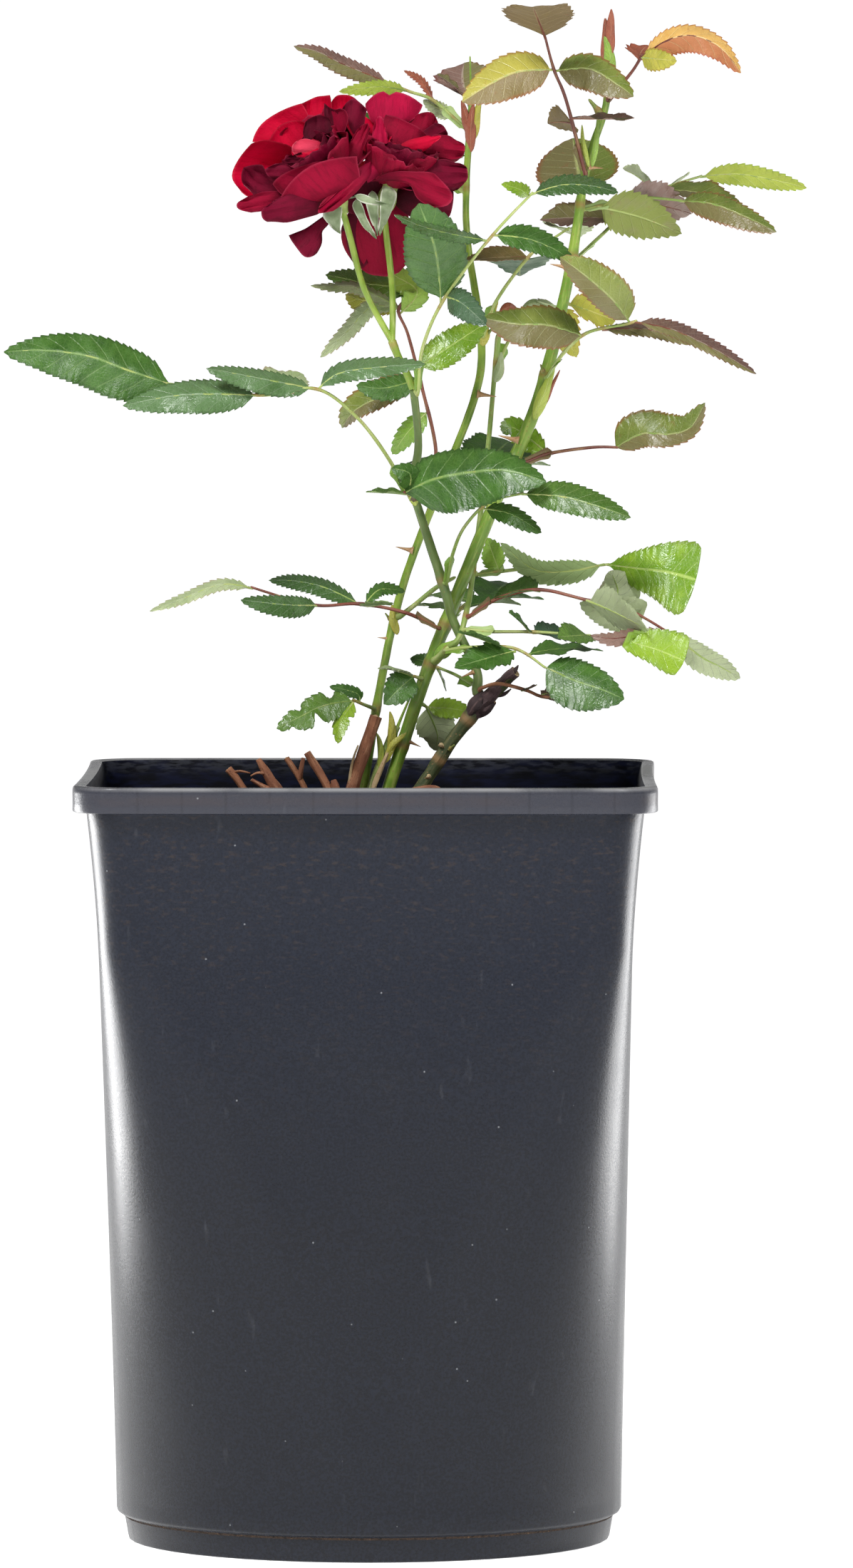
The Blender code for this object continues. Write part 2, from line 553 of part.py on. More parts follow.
def bloom_parts(spec, draw):
    """A bloom's solids before they are fused: stalk, hip, sepals, heart and petals."""
    axis = Vector(spec.heading).normalized()
    side = axis.orthogonal().normalized()
    across = axis.cross(side)
    top = Vector(spec.stalk[-1])
    seat = top + axis * (HIP_LENGTH - 1.5)
    parts = [
        tube("stalk", smooth_line([(*p, 1.05) for p in spec.stalk]), STALK_SIDES, "green"),
        ball("hip", top + axis * (HIP_LENGTH / 2 - 1), axis, (HIP_LENGTH / 2 + 0.8, HIP_RADIUS), "pale"),
        ball("heart", seat + axis * 0.42 * spec.radius, axis, (0.48 * spec.radius, 0.45 * spec.radius),
             "petal", 5, 8)]
    for number in range(SEPALS):
        angle = 2 * pi * (number + 0.3) / SEPALS
        out = cos(angle) * side + sin(angle) * across
        reach = SEPAL_LENGTH * (out * 0.8 - axis * 0.6)
        sepal = Blade(0, tuple(reach), 40, 0.28, 0.1)
        parts.append(blade(f"sepal_{number}", seat - axis * 1.5, sepal, "pale"))
    for ring, (count, lean, size) in enumerate(spec.rings):
        for number in range(count):
            angle = 2 * pi * (number + 0.5 * (ring % 2) + draw.uniform(-0.08, 0.08)) / count
            out = cos(angle) * side + sin(angle) * across
            tilt = radians(lean + draw.uniform(-6, 6))
            heading = out * sin(tilt) + axis * cos(tilt)
            foot = seat + axis * (1.5 + 5 * ring) + out * 1.5
            length = spec.radius * size * draw.uniform(0.94, 1.04)
            parts.append(petal(f"petal_{ring}_{number}", foot, heading, axis, length, length, 0.10))
    for number, (way, length) in enumerate(spec.hanging):
        foot = seat + axis * (0.7 + 0.9 * number)
        parts.append(petal(f"hanging_{number}", foot, way, axis, length, 0.8 * length, 0.08))
    return parts


def make_spray():
    """The fork with its two blooms, fused into one solid."""
    foot = tube(SPRAY, smooth_line([(*p, 1.25) for p in SPRAY_FOOT]), STALK_SIDES, "petal")
    parts, draw = [], Random(PETAL_SEED)
    for spec in BLOOMS:
        parts += bloom_parts(spec, draw)
    return apply_union(foot, parts, "MANIFOLD")


def ring_of(half, corner, bow, count=6):
    """A rounded square, bowed out by bow at the front and back and in at its sides, as (x, y) points."""
    inner = max(half - corner, FLAT)
    corner = half - inner
    points = []
    for quarter in range(4):
        turn = quarter * pi / 2
        for i in range(count + 1):
            angle = pi / 2 * i / count
            x, y = inner + corner * cos(angle), inner + corner * sin(angle)
            points.append((x * cos(turn) - y * sin(turn), x * sin(turn) + y * cos(turn)))
        x, y = 0.0, half + (bow if quarter % 2 == 0 else -bow)
        points.append((x * cos(turn) - y * sin(turn), x * sin(turn) + y * cos(turn)))
    return points


def wall_section(z):
    """The outer wall's half width and corner radius at this height."""
    share = (z - WALL_FOOT) / (WALL_TOP - WALL_FOOT)
    flare = FLARE * max(0, 1 - (WALL_TOP - z) / FLARE_HEIGHT) ** 1.6
    half = WALL_FOOT_RADIUS + (WALL_HALF_WIDTH - WALL_FOOT_RADIUS) * share + flare
    square = min(1, max(0, share / 0.8)) ** 1.3
    return half, half * (1 - square) + (RIM_CORNER - 1) * square


def loft(name, levels, colour):
    """A closed solid through the rings at these levels, each (z, half width, corner, bow)."""
    points, faces = [], []
    for z, half, corner, bow in levels:
        points += [(x, y, z) for x, y in ring_of(half, corner, bow)]
    size = len(ring_of(10, 5, 0))
    for i in range(len(levels) - 1):
        for j in range(size):
            k = (j + 1) % size
            faces.append((i * size + j, i * size + k, (i + 1) * size + k, (i + 1) * size + j))
    faces.append(tuple(reversed(range(size))))
    faces.append(tuple(range(len(points) - size, len(points))))
    return mesh_object(name, points, faces, colour)


def make_pot():
    """The pot: foot, wall, rim band and lip outside, and an offset surface inside, with drain holes."""
    levels = [(0.0, FOOT_RADIUS, FOOT_RADIUS, 0.0),
              (FOOT_HEIGHT, FOOT_RADIUS + FOOT_DRAFT, FOOT_RADIUS + FOOT_DRAFT, 0.0)]
    levels += [(z, *wall_section(z), 0.0) for z in WALL_HEIGHTS]
    levels += [
        (WALL_TOP, wall_section(WALL_TOP)[0], RIM_CORNER, 0.0),
        (WALL_TOP + 0.4, RIM_HALF_WIDTH - 0.2, RIM_CORNER, RIM_BOW),
        (POT_HEIGHT - 0.6, RIM_HALF_WIDTH - 0.2, RIM_CORNER, RIM_BOW),
        (POT_HEIGHT, RIM_HALF_WIDTH - 0.8, RIM_CORNER, RIM_BOW),
        (POT_HEIGHT, RIM_HALF_WIDTH - LIP_WIDTH, RIM_CORNER - 2, RIM_BOW),
        (WALL_TOP, wall_section(WALL_TOP)[0] - WALL, RIM_CORNER - 2, 0.0),
    ]
    levels += [(z, *inner_section(z), 0.0) for z in reversed(WALL_HEIGHTS)]
    levels += [(FLOOR, *inner_section(FLOOR), 0.0)]
    pot = loft("pot", levels, "charcoal")
    for number in range(DRAIN_HOLES):
        angle = 2 * pi * (number + 0.5) / DRAIN_HOLES
        x, y = DRAIN_CIRCLE * cos(angle), DRAIN_CIRCLE * sin(angle)
        line = [(x, y, -2, DRAIN_RADIUS), (x, y, FLOOR + 2, DRAIN_RADIUS)]
        hole = tube(f"drain_{number}", line, 10, "charcoal")
        cut = pot.modifiers.new(f"drain_{number}", "BOOLEAN")
        cut.operation = "DIFFERENCE"
        cut.object = hole
        hole.hide_render = True
        hole.display_type = "WIRE"
    return pot


def inner_section(z):
    """The inner wall's half width and corner radius at this height."""
    if z < FOOT_HEIGHT:
        return FOOT_RADIUS - WALL, FOOT_RADIUS - WALL
    half, corner = wall_section(z)
    return half - WALL, corner - WALL


def make_soil():
    """The compost that fills the pot, GAP clear of its floor and wall."""
    low = FLOOR + GAP
    half, corner = inner_section(low)
    levels = [(low, half - GAP, corner - GAP, 0.0)]
    for z in [z for z in WALL_HEIGHTS if z < SOIL_TOP] + [SOIL_TOP]:
        half, corner = inner_section(z)
        levels.append((z, half - GAP, corner - GAP, 0.0))
    return loft("compost", levels, "compost")


def cane_line(spec, lines):
    """A cane's smooth line: one that grows on another starts square to it and GAP clear of it."""
    if not spec.parent:
        return smooth_line(spec.line)
    foot = spec.line[0]
    centre, along, radius = nearest_on(lines[spec.parent], foot[:3])
    out = Vector(foot[:3]) - centre
    out = (out - along * out.dot(along)).normalized()
    start = centre + out * (radius + GAP)
    return [(*start, foot[3])] + smooth_line([(*(start + 1.5 * out), foot[3])] + spec.line[1:])


def make_cane(spec, line):
    """A cane with its thorns fused on."""
    cane = tube(spec.name, line, CANE_SIDES, spec.colour)
    thorns = []
    for name, height, way, length in THORNS:
        if name != spec.name:
            continue
        centre = min((Vector(p[:3]) for p in curve_at(line, 200)), key=lambda p: abs(p.z - height))
        way = Vector(way).normalized()
        base = [(*(centre + way * 0.4), 1.25), (*(centre + way * length), 0.12)]
        thorns.append(tube("thorn", base, 5, spec.colour))
    return apply_union(cane, thorns)


def main():
    """Builds the pot, its compost, the canes, the leaves and the blooms."""
    clear_scene()
    make_pot()
    make_soil()
    lines = {}
    for spec in CANES:
        lines[spec.name] = cane_line(spec, lines)
        make_cane(spec, lines[spec.name])
    for spec in LEAVES + [rear_leaf(*row) for row in REAR_LEAVES]:
        make_leaf(spec, lines[spec.cane])
    make_spray()


if __name__ == "__main__":
    main()
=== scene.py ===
"""A climbing rose with cut-back canes and two double blooms, in a deep square-topped nursery pot.

Metres, +Z up, front towards -Y. Sizes and places below are in millimetres, and MM turns them into
metres where the meshes are made.
"""

import json
import logging
from collections.abc import Callable, Sequence
from dataclasses import dataclass, field
from enum import Enum
from math import cos, pi, radians, sin
from random import Random

import bpy
import numpy as np
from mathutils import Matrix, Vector

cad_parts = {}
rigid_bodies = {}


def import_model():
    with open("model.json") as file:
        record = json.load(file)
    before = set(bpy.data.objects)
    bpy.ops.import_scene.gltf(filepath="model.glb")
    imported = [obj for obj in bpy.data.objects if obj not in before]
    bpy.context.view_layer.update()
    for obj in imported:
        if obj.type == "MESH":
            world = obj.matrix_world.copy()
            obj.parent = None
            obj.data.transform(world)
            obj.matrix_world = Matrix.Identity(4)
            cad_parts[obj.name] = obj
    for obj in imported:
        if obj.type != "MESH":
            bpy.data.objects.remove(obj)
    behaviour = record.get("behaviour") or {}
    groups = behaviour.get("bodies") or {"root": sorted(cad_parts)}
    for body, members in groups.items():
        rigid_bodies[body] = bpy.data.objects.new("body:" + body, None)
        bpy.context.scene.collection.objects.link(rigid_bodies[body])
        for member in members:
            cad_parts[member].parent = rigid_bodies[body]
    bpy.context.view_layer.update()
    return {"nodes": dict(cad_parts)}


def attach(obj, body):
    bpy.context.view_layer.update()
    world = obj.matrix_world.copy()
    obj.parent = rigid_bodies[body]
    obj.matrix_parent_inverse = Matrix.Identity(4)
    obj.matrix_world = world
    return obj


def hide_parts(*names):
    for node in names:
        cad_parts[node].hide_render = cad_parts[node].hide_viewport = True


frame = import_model()

MM = 0.001
GAP = 0.3  # clearance between two pieces that meet
LOG = logging.getLogger("rose")

Point = Sequence[float]
Socket, Material, Object = bpy.types.NodeSocket, bpy.types.Material, bpy.types.Object


# ---------------------------------------------------------------- finishes


def linear(colour: str) -> tuple[float, float, float, float]:
    """The linear RGBA of an sRGB hex colour such as #3F5F2E."""
    parts = [int(colour[i : i + 2], 16) / 255 for i in (1, 3, 5)]
    return (*[c / 12.92 if c <= 0.04045 else ((c + 0.055) / 1.055) ** 2.4 for c in parts], 1.0)


def add_node(tree: bpy.types.NodeTree, kind: str, inputs: dict | None = None, **settings) -> bpy.types.Node:
    """Adds a node, with its settings, and its inputs linked or set by name or number."""
    node = tree.nodes.new(kind)
    for key, value in settings.items():
        setattr(node, key, value)
    for key, value in (inputs or {}).items():
        if isinstance(value, Socket):
            tree.links.new(value, node.inputs[key])
        else:
            node.inputs[key].default_value = value
    return node


class Sketch:
    """A material being drawn: its node tree and the few moves that every finish is made from."""

    def __init__(self, name: str) -> None:
        self.material = bpy.data.materials.new(name)
        self.material.use_nodes = True
        self.tree = self.material.node_tree
        self.shader = self.tree.nodes["Principled BSDF"]

    def attribute(self, name: str) -> Socket:
        """A vector that the mesh carries at each point."""
        return add_node(self.tree, "ShaderNodeAttribute", attribute_name=name).outputs["Vector"]

    def place(self, squeeze: Point = (1, 1, 1)) -> Socket:
        """The place in millimetres, squeezed along the axes for a pattern that runs one way."""
        coords = add_node(self.tree, "ShaderNodeTexCoord").outputs["Object"]
        return self.times(coords, [1000 * s for s in squeeze])

    def times(self, vector: Socket, by: Point) -> Socket:
        """The vector, multiplied axis by axis."""
        return add_node(self.tree, "ShaderNodeVectorMath", {0: vector, 1: by},
                        operation="MULTIPLY").outputs[0]

    def split(self, vector: Socket) -> list[Socket]:
        """The three numbers of a vector."""
        return list(add_node(self.tree, "ShaderNodeSeparateXYZ", {0: vector}).outputs)

    def math(self, kind: str, *values) -> Socket:
        """A Math node's result."""
        return add_node(self.tree, "ShaderNodeMath", dict(enumerate(values)), operation=kind).outputs[0]

    def plus(self, one, two) -> Socket:
        """The sum of two values."""
        return self.math("ADD", one, two)

    def less(self, one, two) -> Socket:
        """The first value less the second."""
        return self.math("SUBTRACT", one, two)

    def by(self, one, two) -> Socket:
        """The product of two values."""
        return self.math("MULTIPLY", one, two)

    def noise(self, vector: Socket, size: float, detail: float = 3) -> Socket:
        """Soft noise, 0 to 1, with spots about this size in millimetres."""
        made = add_node(self.tree, "ShaderNodeTexNoise",
                        {"Vector": vector, "Scale": 1 / size, "Detail": detail})
        return made.outputs["Fac"]

    def cells(self, vector: Socket, size: float, feature: str = "DISTANCE_TO_EDGE") -> Socket:
        """The distance to the edges, or to the middles, of cells of this size in millimetres."""
        return add_node(self.tree, "ShaderNodeTexVoronoi", {"Vector": vector, "Scale": 1 / size},
                        feature=feature).outputs["Distance"]

    def ramp(self, value, low: float, high: float, to_low: float = 0.0, to_high: float = 1.0) -> Socket:
        """A smooth step from to_low to to_high as the value goes from low to high."""
        inputs = {0: value, 1: low, 2: high, 3: to_low, 4: to_high}
        return add_node(self.tree, "ShaderNodeMapRange", inputs, interpolation_type="SMOOTHSTEP").outputs[0]

    def blend(self, share, first, second, kind: str = "MIX") -> Socket:
        """A mix of two colours, each a hex string or a socket."""
        pair = [linear(c) if isinstance(c, str) else c for c in (first, second)]
        return add_node(self.tree, "ShaderNodeMix", {0: share, 6: pair[0], 7: pair[1]},
                        data_type="RGBA", blend_type=kind).outputs[2]

    def bump(self, height, depth: float, below: Socket | None = None) -> Socket:
        """A normal for relief of this depth in millimetres."""
        inputs = {"Height": height, "Distance": depth * MM, "Strength": 1.0}
        if below is not None:
            inputs["Normal"] = below
        return add_node(self.tree, "ShaderNodeBump", inputs).outputs[0]

    def finish(self, colour, roughness, normal=None, **plain: float) -> Material:
        """Links colour, roughness and normal to the shader, and sets its other sockets by name."""
        links = {"Base Color": colour, "Roughness": roughness, "Normal": normal}
        for key, value in links.items():
            if isinstance(value, Socket):
                self.tree.links.new(value, self.shader.inputs[key])
            elif value is not None:
                self.shader.inputs[key].default_value = value
        for key, value in plain.items():
            self.shader.inputs[key.replace("_", " ").title().replace("Ior", "IOR")].default_value = value
        return self.material


class Tone(Enum):
    """The looks of a leaflet: its two upper colours, veins, margin, underside and gloss, and for some a
    colour for one half, which is partly painted shade.
    """

    DARK = ("#31561C", "#466E2A", "#8FAE66", "#2E4A1E", "#7F9464", 0.33)
    # BLUE is dark green greyed towards blue: painted sheen of the bright room on leaflets seen at a grazing
    # angle.
    BLUE = ("#34503A", "#4A664A", "#8CA084", "#2C402E", "#8A9A84", 0.30)
    MID = ("#446626", "#5E8234", "#A6BC72", "#3E5A24", "#8FA66C", 0.30)
    LIGHT = ("#749A34", "#92B448", "#C4D684", "#66903A", "#A9C07C", 0.36)
    LIME = ("#98AC3C", "#B2C052", "#D5DE90", "#8FA842", "#BCCB86", 0.38)
    FRESH = ("#68901E", "#8EB032", "#C2D878", "#6A7E2C", "#A9C07C", 0.26)
    YELLOW = ("#A9A83E", "#C2BA50", "#DAD486", "#9A6A32", "#C9C07E", 0.42)
    OLIVE = ("#665A2C", "#7C6A3C", "#B9A87C", "#7A3428", "#786646", 0.34)
    FADING = ("#66762F", "#838E42", "#B9BE80", "#8A4A30", "#8F8862", 0.33, "#756A45")
    DUSK = ("#A09A3C", "#B6AE4C", "#D6CE88", "#9A5A34", "#A08C6C", 0.36, "#7E6A4E")
    SILVER = ("#40602F", "#5F7E50", "#A2B896", "#38502E", "#9AAC94", 0.24)
    MAUVE = ("#6E5148", "#86685C", "#C2AFA0", "#6E3430", "#A08C84", 0.38, "#7C7A48")
    AMBER = ("#D09A48", "#E2B464", "#F2DCA0", "#9C4A38", "#B0705A", 0.40, "#B26A4C")
    PALE = ("#93A672", "#AEBC8C", "#D6DEC0", "#A08C78", "#A9B48C", 0.45)
    RUST = ("#8A4430", "#A35A42", "#CF9E7A", "#6E3024", "#9A6A58", 0.42)
    DRY = ("#3B2A22", "#54402F", "#7A6650", "#2C1F1A", "#5E4A3A", 0.75)

    @property
    def skins(self) -> tuple[Material, Material]:
        """The glossy upper side and the dull, paler underside, kept once made."""
        return LeafFinish(self, True).material, LeafFinish(self, False).material


KEPT: dict[tuple, Material] = {}
VEIN_PAIRS = 8.0  # side veins on each side of a midrib
VEIN_SLANT = 1.3  # how far they run to the tip on their way out, over the space between them


def once(maker: Callable) -> Callable:
    """Makes each material once for its arguments."""
    def kept(*key):
        found = (maker.__qualname__, *key)
        if found not in KEPT:
            KEPT[found] = maker(*key)
        return KEPT[found]
    return kept


@dataclass(frozen=True)
class LeafFinish:
    """A living leaflet's skin: one side in one tone."""

    tone: Tone
    upper: bool
    vein_pairs: float = VEIN_PAIRS

    @property
    def material(self) -> Material:
        """The side's material."""
        return leaf_skin(self.tone, self.upper, self.vein_pairs)


@once
def leaf_skin(tone: Tone, upper: bool, vein_pairs: float) -> Material:
    """Waxy leaf skin: side veins that slant to the tip, a fine net between them and a tinted margin.

    Args:
        tone: the leaflet's colours.
        upper: whether this is the upper side, which is darker and glossier.
        vein_pairs: how many side veins leave the midrib on each side.

    Returns:
        The material, which reads the mesh's looks (distance from the midrib, share of the length,
        chance) and grain (millimetres across and along).
    """
    first, second, vein, margin, below, gloss, *half = tone.value
    art = Sketch(f"rose_leaf_{tone.name.lower()}_{'waxy_upper' if upper else 'matte_under'}")
    side, along, chance = art.split(art.attribute("looks"))
    grain = art.attribute("grain")
    phase = art.less(art.by(along, vein_pairs), art.by(side, VEIN_SLANT))
    wave = art.math("ABSOLUTE", art.less(art.math("FRACT", phase), 0.5))
    veins = art.ramp(wave, 0.43, 0.5)
    midrib = art.ramp(side, 0.07, 0.018)
    lines = art.math("MAXIMUM", art.by(veins, art.ramp(side, 0.97, 0.75)), midrib)
    net = art.cells(grain, 1.1)
    cloud = art.noise(grain, 7.0)
    pick = art.ramp(art.plus(cloud, art.by(art.less(chance, 0.5), 0.5)),
                    0.30, 0.70)
    if upper:
        colour = art.blend(pick, first, second)
        colour = art.blend(art.ramp(net, 0.12, 0.0, 0.0, 0.10), colour, vein)
        # A seventh colour tints one half of the upper side: partly the leaflet's own second colour, and
        # partly painted shade on the half of the fold that turns from the light.
        if half:
            other = art.ramp(art.split(grain)[0], -0.4, 0.4, 0.0, 0.85)
            colour = art.blend(other, colour, half[0])
        ribs = art.math("MAXIMUM", art.by(lines, 0.24), art.by(midrib, 0.58))
        colour = art.blend(ribs, colour, vein)
        edge = art.ramp(art.plus(side, art.by(cloud, 0.16)), 0.93, 1.08)
        colour = art.blend(art.by(edge, 0.65), colour, margin)
    else:
        colour = art.blend(pick, below, second)
        colour = art.blend(art.by(lines, 0.4), colour, vein)
    colour = art.blend(art.ramp(art.noise(grain, 2.2, 4), 0.62, 0.78, 0.0, 0.35), colour, margin)
    height = art.plus(art.by(lines, -1.0 if upper else 1.6),
                      art.by(art.ramp(net, 0.0, 0.3), 0.35))
    normal = art.bump(height, 0.10)
    rough = art.ramp(art.noise(grain, 3.0), 0.3, 0.7, gloss - 0.06, gloss + 0.10)
    if upper:
        return art.finish(colour, rough, normal, coat_weight=0.10, coat_roughness=0.30)
    return art.finish(colour, 0.62, normal)


class Bark(Enum):
    """The looks of a stem: two ground colours, its streaks, its joints, roughness and relief in mm."""

    GREEN = ("#688A2E", "#8AA63E", "#A8B65C", "#8C6A3C", 0.36, 0.05)
    LIME = ("#7F9C34", "#9CB44A", "#B8C674", "#A08A4C", 0.38, 0.05)
    SAGE = ("#4C6632", "#657C3E", "#86905C", "#8A7040", 0.42, 0.08)
    PALE = ("#86A050", "#A8B868", "#C2C48A", "#A07848", 0.45, 0.05)
    OLD = ("#3F4A2A", "#545A34", "#6E6A46", "#9C7850", 0.60, 0.15)
    DEAD = ("#7A4A34", "#9A6648", "#B88E6E", "#553426", 0.80, 0.30)
    CUT = ("#34282A", "#4A383A", "#6C5654", "#241A1C", 0.80, 0.35)
    RED = ("#6E3A30", "#8A5040", "#9C7A50", "#5A2C26", 0.42, 0.05)
    BUD = ("#7C8A44", "#9A7A48", "#B09A68", "#7A4030", 0.50, 0.08)
    STRAW = ("#B59A72", "#CDB68E", "#E0D2B4", "#8A6A48", 0.80, 0.20)
    PITH = ("#A88A66", "#C0A882", "#8A6A4A", "#6E4E36", 0.90, 0.15)
    THORN = ("#B98F66", "#CDAE84", "#DCC8A4", "#8C5A3C", 0.50, 0.04)

    @property
    def skin(self) -> Material:
        """The stem's material, kept once made."""
        return stem_skin(self)


@once
def stem_skin(bark: Bark) -> Material:
    """Rose stem skin: streaks that run along the stem, specks, darker joints and shallow relief."""
    first, second, streak, joint, rough, relief = bark.value
    art = Sketch(f"rose_stem_{bark.name.lower()}_streaked_bark")
    grain = art.attribute("grain")
    near, _, chance = art.split(art.attribute("looks"))
    along = art.noise(art.times(grain, (1, 1, 0.10)), 0.9, 4)
    cloud = art.noise(grain, 9.0)
    pick = art.plus(cloud, art.by(art.less(chance, 0.5), 0.4))
    colour = art.blend(art.ramp(pick, 0.35, 0.65), first, second)
    colour = art.blend(art.ramp(along, 0.50, 0.72, 0.0, 0.75), colour, streak)
    speck = art.cells(grain, 1.4, "F1")
    colour = art.blend(art.ramp(speck, 0.24, 0.12, 0.0, 0.55), colour, joint)
    colour = art.blend(art.by(near, 0.75), colour, joint)
    height = art.plus(along, art.by(art.noise(grain, 0.5), 0.5))
    return art.finish(colour, art.ramp(along, 0.3, 0.7, rough - 0.05, rough + 0.12), art.bump(height, relief))


# ---------------------------------------------------------------- shapes


@dataclass
class Draft:
    """One piece being gathered: points in mm, faces with their finish, grain and looks."""

    name: str
    points: list[np.ndarray] = field(default_factory=list)
    grain: list[np.ndarray] = field(default_factory=list)
    looks: list[np.ndarray] = field(default_factory=list)
    faces: list[tuple[int, ...]] = field(default_factory=list)
    slots: list[int] = field(default_factory=list)
    skins: list[Material] = field(default_factory=list)
    count: int = 0

    def add(self, points, faces, skins: Sequence[Material], which: Sequence[int],
            grain=None, looks=None) -> None:
        """Adds a closed shape.

        Args:
            points: its points in mm.
            faces: its faces, facing out, by point.
            skins: the finishes that it uses.
            which: each face's finish, as a place in skins.
            grain: a vector at each point for patterns in mm; the points themselves if left out.
            looks: a vector at each point for tints; nothing if left out.
        """
        points = np.asarray(points, float)
        self.points.append(points)
        self.grain.append(points if grain is None else np.asarray(grain, float))
        self.looks.append(np.zeros_like(points) if looks is None else np.asarray(looks, float))
        self.faces += [tuple(self.count + i for i in face) for face in faces]
        for skin in skins:
            if skin not in self.skins:
                self.skins.append(skin)
        place = [self.skins.index(skin) for skin in skins]
        self.slots += [place[i] for i in which]
        self.count += len(points)

    def shape(self, smooth_to: float = 55.0) -> Object:
        """Makes an object of it, smooth up to this angle."""
        mesh = bpy.data.meshes.new(self.name)
        mesh.from_pydata((np.vstack(self.points) * MM).tolist(), [], self.faces)
        for skin in self.skins:
            mesh.materials.append(skin)
        mesh.polygons.foreach_set("material_index", self.slots)
        mesh.polygons.foreach_set("use_smooth", [True] * len(self.faces))
        for key, rows in (("grain", self.grain), ("looks", self.looks)):
            layer = mesh.attributes.new(key, "FLOAT_VECTOR", "POINT")
            layer.data.foreach_set("vector", np.vstack(rows).astype(np.float32).ravel())
        mesh.set_sharp_from_angle(angle=radians(smooth_to))
        obj = bpy.data.objects.new(self.name + "_piece", mesh)
        bpy.context.scene.collection.objects.link(obj)
        return obj

    def build(self, smooth_to: float = 55.0) -> Object:
        """Makes the finished piece, which rides on the one body."""
        return place_piece(self.shape(smooth_to), self.name)


def place_piece(obj: Object, node: str = "") -> Object:
    """Links the object, rides it on the body and lets it stand for its CAD node."""
    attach(obj, "root")
    if node in frame["nodes"]:
        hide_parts(node)
    LOG.info("%s: %d faces", obj.name, len(obj.data.polygons))
    return obj


def apply_modifiers(obj: Object, used: Sequence[Object]) -> None:
    """Makes the modifiers' result the object's own mesh, and removes the objects that they used."""
    bpy.context.view_layer.update()
    made = bpy.data.meshes.new_from_object(obj.evaluated_get(bpy.context.evaluated_depsgraph_get()))
    obj.modifiers.clear()
    obj.data = made
    for tool in used:
        bpy.data.objects.remove(tool, do_unlink=True)


def curve_at(points: Sequence[Point], count: int) -> list[tuple]:
    """`count` + 1 tuples along a Catmull-Rom curve through the points, evenly by parameter."""
    ends = [points[0]] + list(points) + [points[-1]]
    spans = len(points) - 1
    found = []
    for i in range(count + 1):
        place = i / count * spans
        k = min(int(place), spans - 1)
        t = place - k
        found.append(tuple(
            0.5 * (2 * q + (r - p) * t + (2 * p - 5 * q + 4 * r - s) * t * t
                   + (3 * q - p - 3 * r + s) * t ** 3)
            for p, q, r, s in zip(*ends[k : k + 4])))
    return found


def length_of(points: Sequence[Point]) -> float:
    """The length of a line through the points."""
    return sum((Vector(b[:3]) - Vector(a[:3])).length for a, b in zip(points, points[1:]))


def point_at(points: Sequence[Point], share: float) -> Vector:
    """The point at this share of a line's length."""
    left = share * length_of(points)
    for a, b in zip(points, points[1:]):
        a, b = Vector(a[:3]), Vector(b[:3])
        step = (b - a).length
        if step >= left:
            return a.lerp(b, left / step if step else 0)
        left -= step
    return Vector(points[-1][:3])


def nearest_on(line: Sequence[Point], place: Point) -> tuple[Vector, Vector, float]:
    """The point, direction and radius of a line nearest this place."""
    best = None
    for a, b in zip(line, line[1:]):
        start, step = Vector(a[:3]), Vector(b[:3]) - Vector(a[:3])
        share = min(1, max(0, (Vector(place) - start).dot(step) / step.length_squared))
        point = start + share * step
        away = (Vector(place) - point).length
        if best is None or away < best[0]:
            best = (away, point, step.normalized(), a[3] + share * (b[3] - a[3]))
    return best[1:]


def run_along(line: np.ndarray) -> np.ndarray:
    """How far along a line each of its points lies."""
    return np.r_[0, np.cumsum(np.linalg.norm(np.diff(line, axis=0), axis=1))]


def rows_at(line: np.ndarray, run: np.ndarray, at: np.ndarray) -> np.ndarray:
    """A line's rows at these distances along it, with `run` as run_along gives it."""
    return np.stack([np.interp(at, run, column) for column in line.T], axis=1)


def resample(line: Sequence[Point], step: float) -> np.ndarray:
    """The smooth line through the points as rows of (x, y, z, radius), this far apart."""
    fine = np.array(curve_at(line, 24 * (len(line) - 1)))
    run = run_along(fine[:, :3])
    count = max(3, int(round(run[-1] / step)) + 1)
    return rows_at(fine, run, np.linspace(0, run[-1], count))


def on_grid(shape: tuple[int, ...], *parts) -> np.ndarray:
    """A vector at each place of a grid. Its parts are numbers, rows, columns or whole grids."""
    return np.stack([np.broadcast_to(part, shape) for part in parts], axis=-1)


def tube_faces(rows: int, sides: int) -> list[tuple[int, ...]]:
    """The faces between rings of points."""
    return [(i * sides + j, i * sides + (j + 1) % sides, (i + 1) * sides + (j + 1) % sides,
             (i + 1) * sides + j)
            for i in range(rows - 1) for j in range(sides)]


def capped_faces(rows: int, sides: int) -> list[tuple[int, ...]]:
    """The faces between rings of points, closed at both ends."""
    return tube_faces(rows, sides) + [tuple(reversed(range(sides))),
                                      tuple(range((rows - 1) * sides, rows * sides))]


def frames_along(line: np.ndarray, flat_foot: bool = False) -> tuple[np.ndarray, np.ndarray]:
    """Two directions square to the line at each point, turned as little as possible."""
    heads = np.gradient(line[:, :3], axis=0)
    heads /= np.linalg.norm(heads, axis=1, keepdims=True)
    if flat_foot:
        heads[0] = (0, 0, 1)
    sides = np.zeros_like(heads)
    side = np.array(Vector(heads[0]).orthogonal())
    for i, head in enumerate(heads):
        side = side - head * (side @ head)
        side = side / np.linalg.norm(side)
        sides[i] = side
    return sides, np.cross(heads, sides)


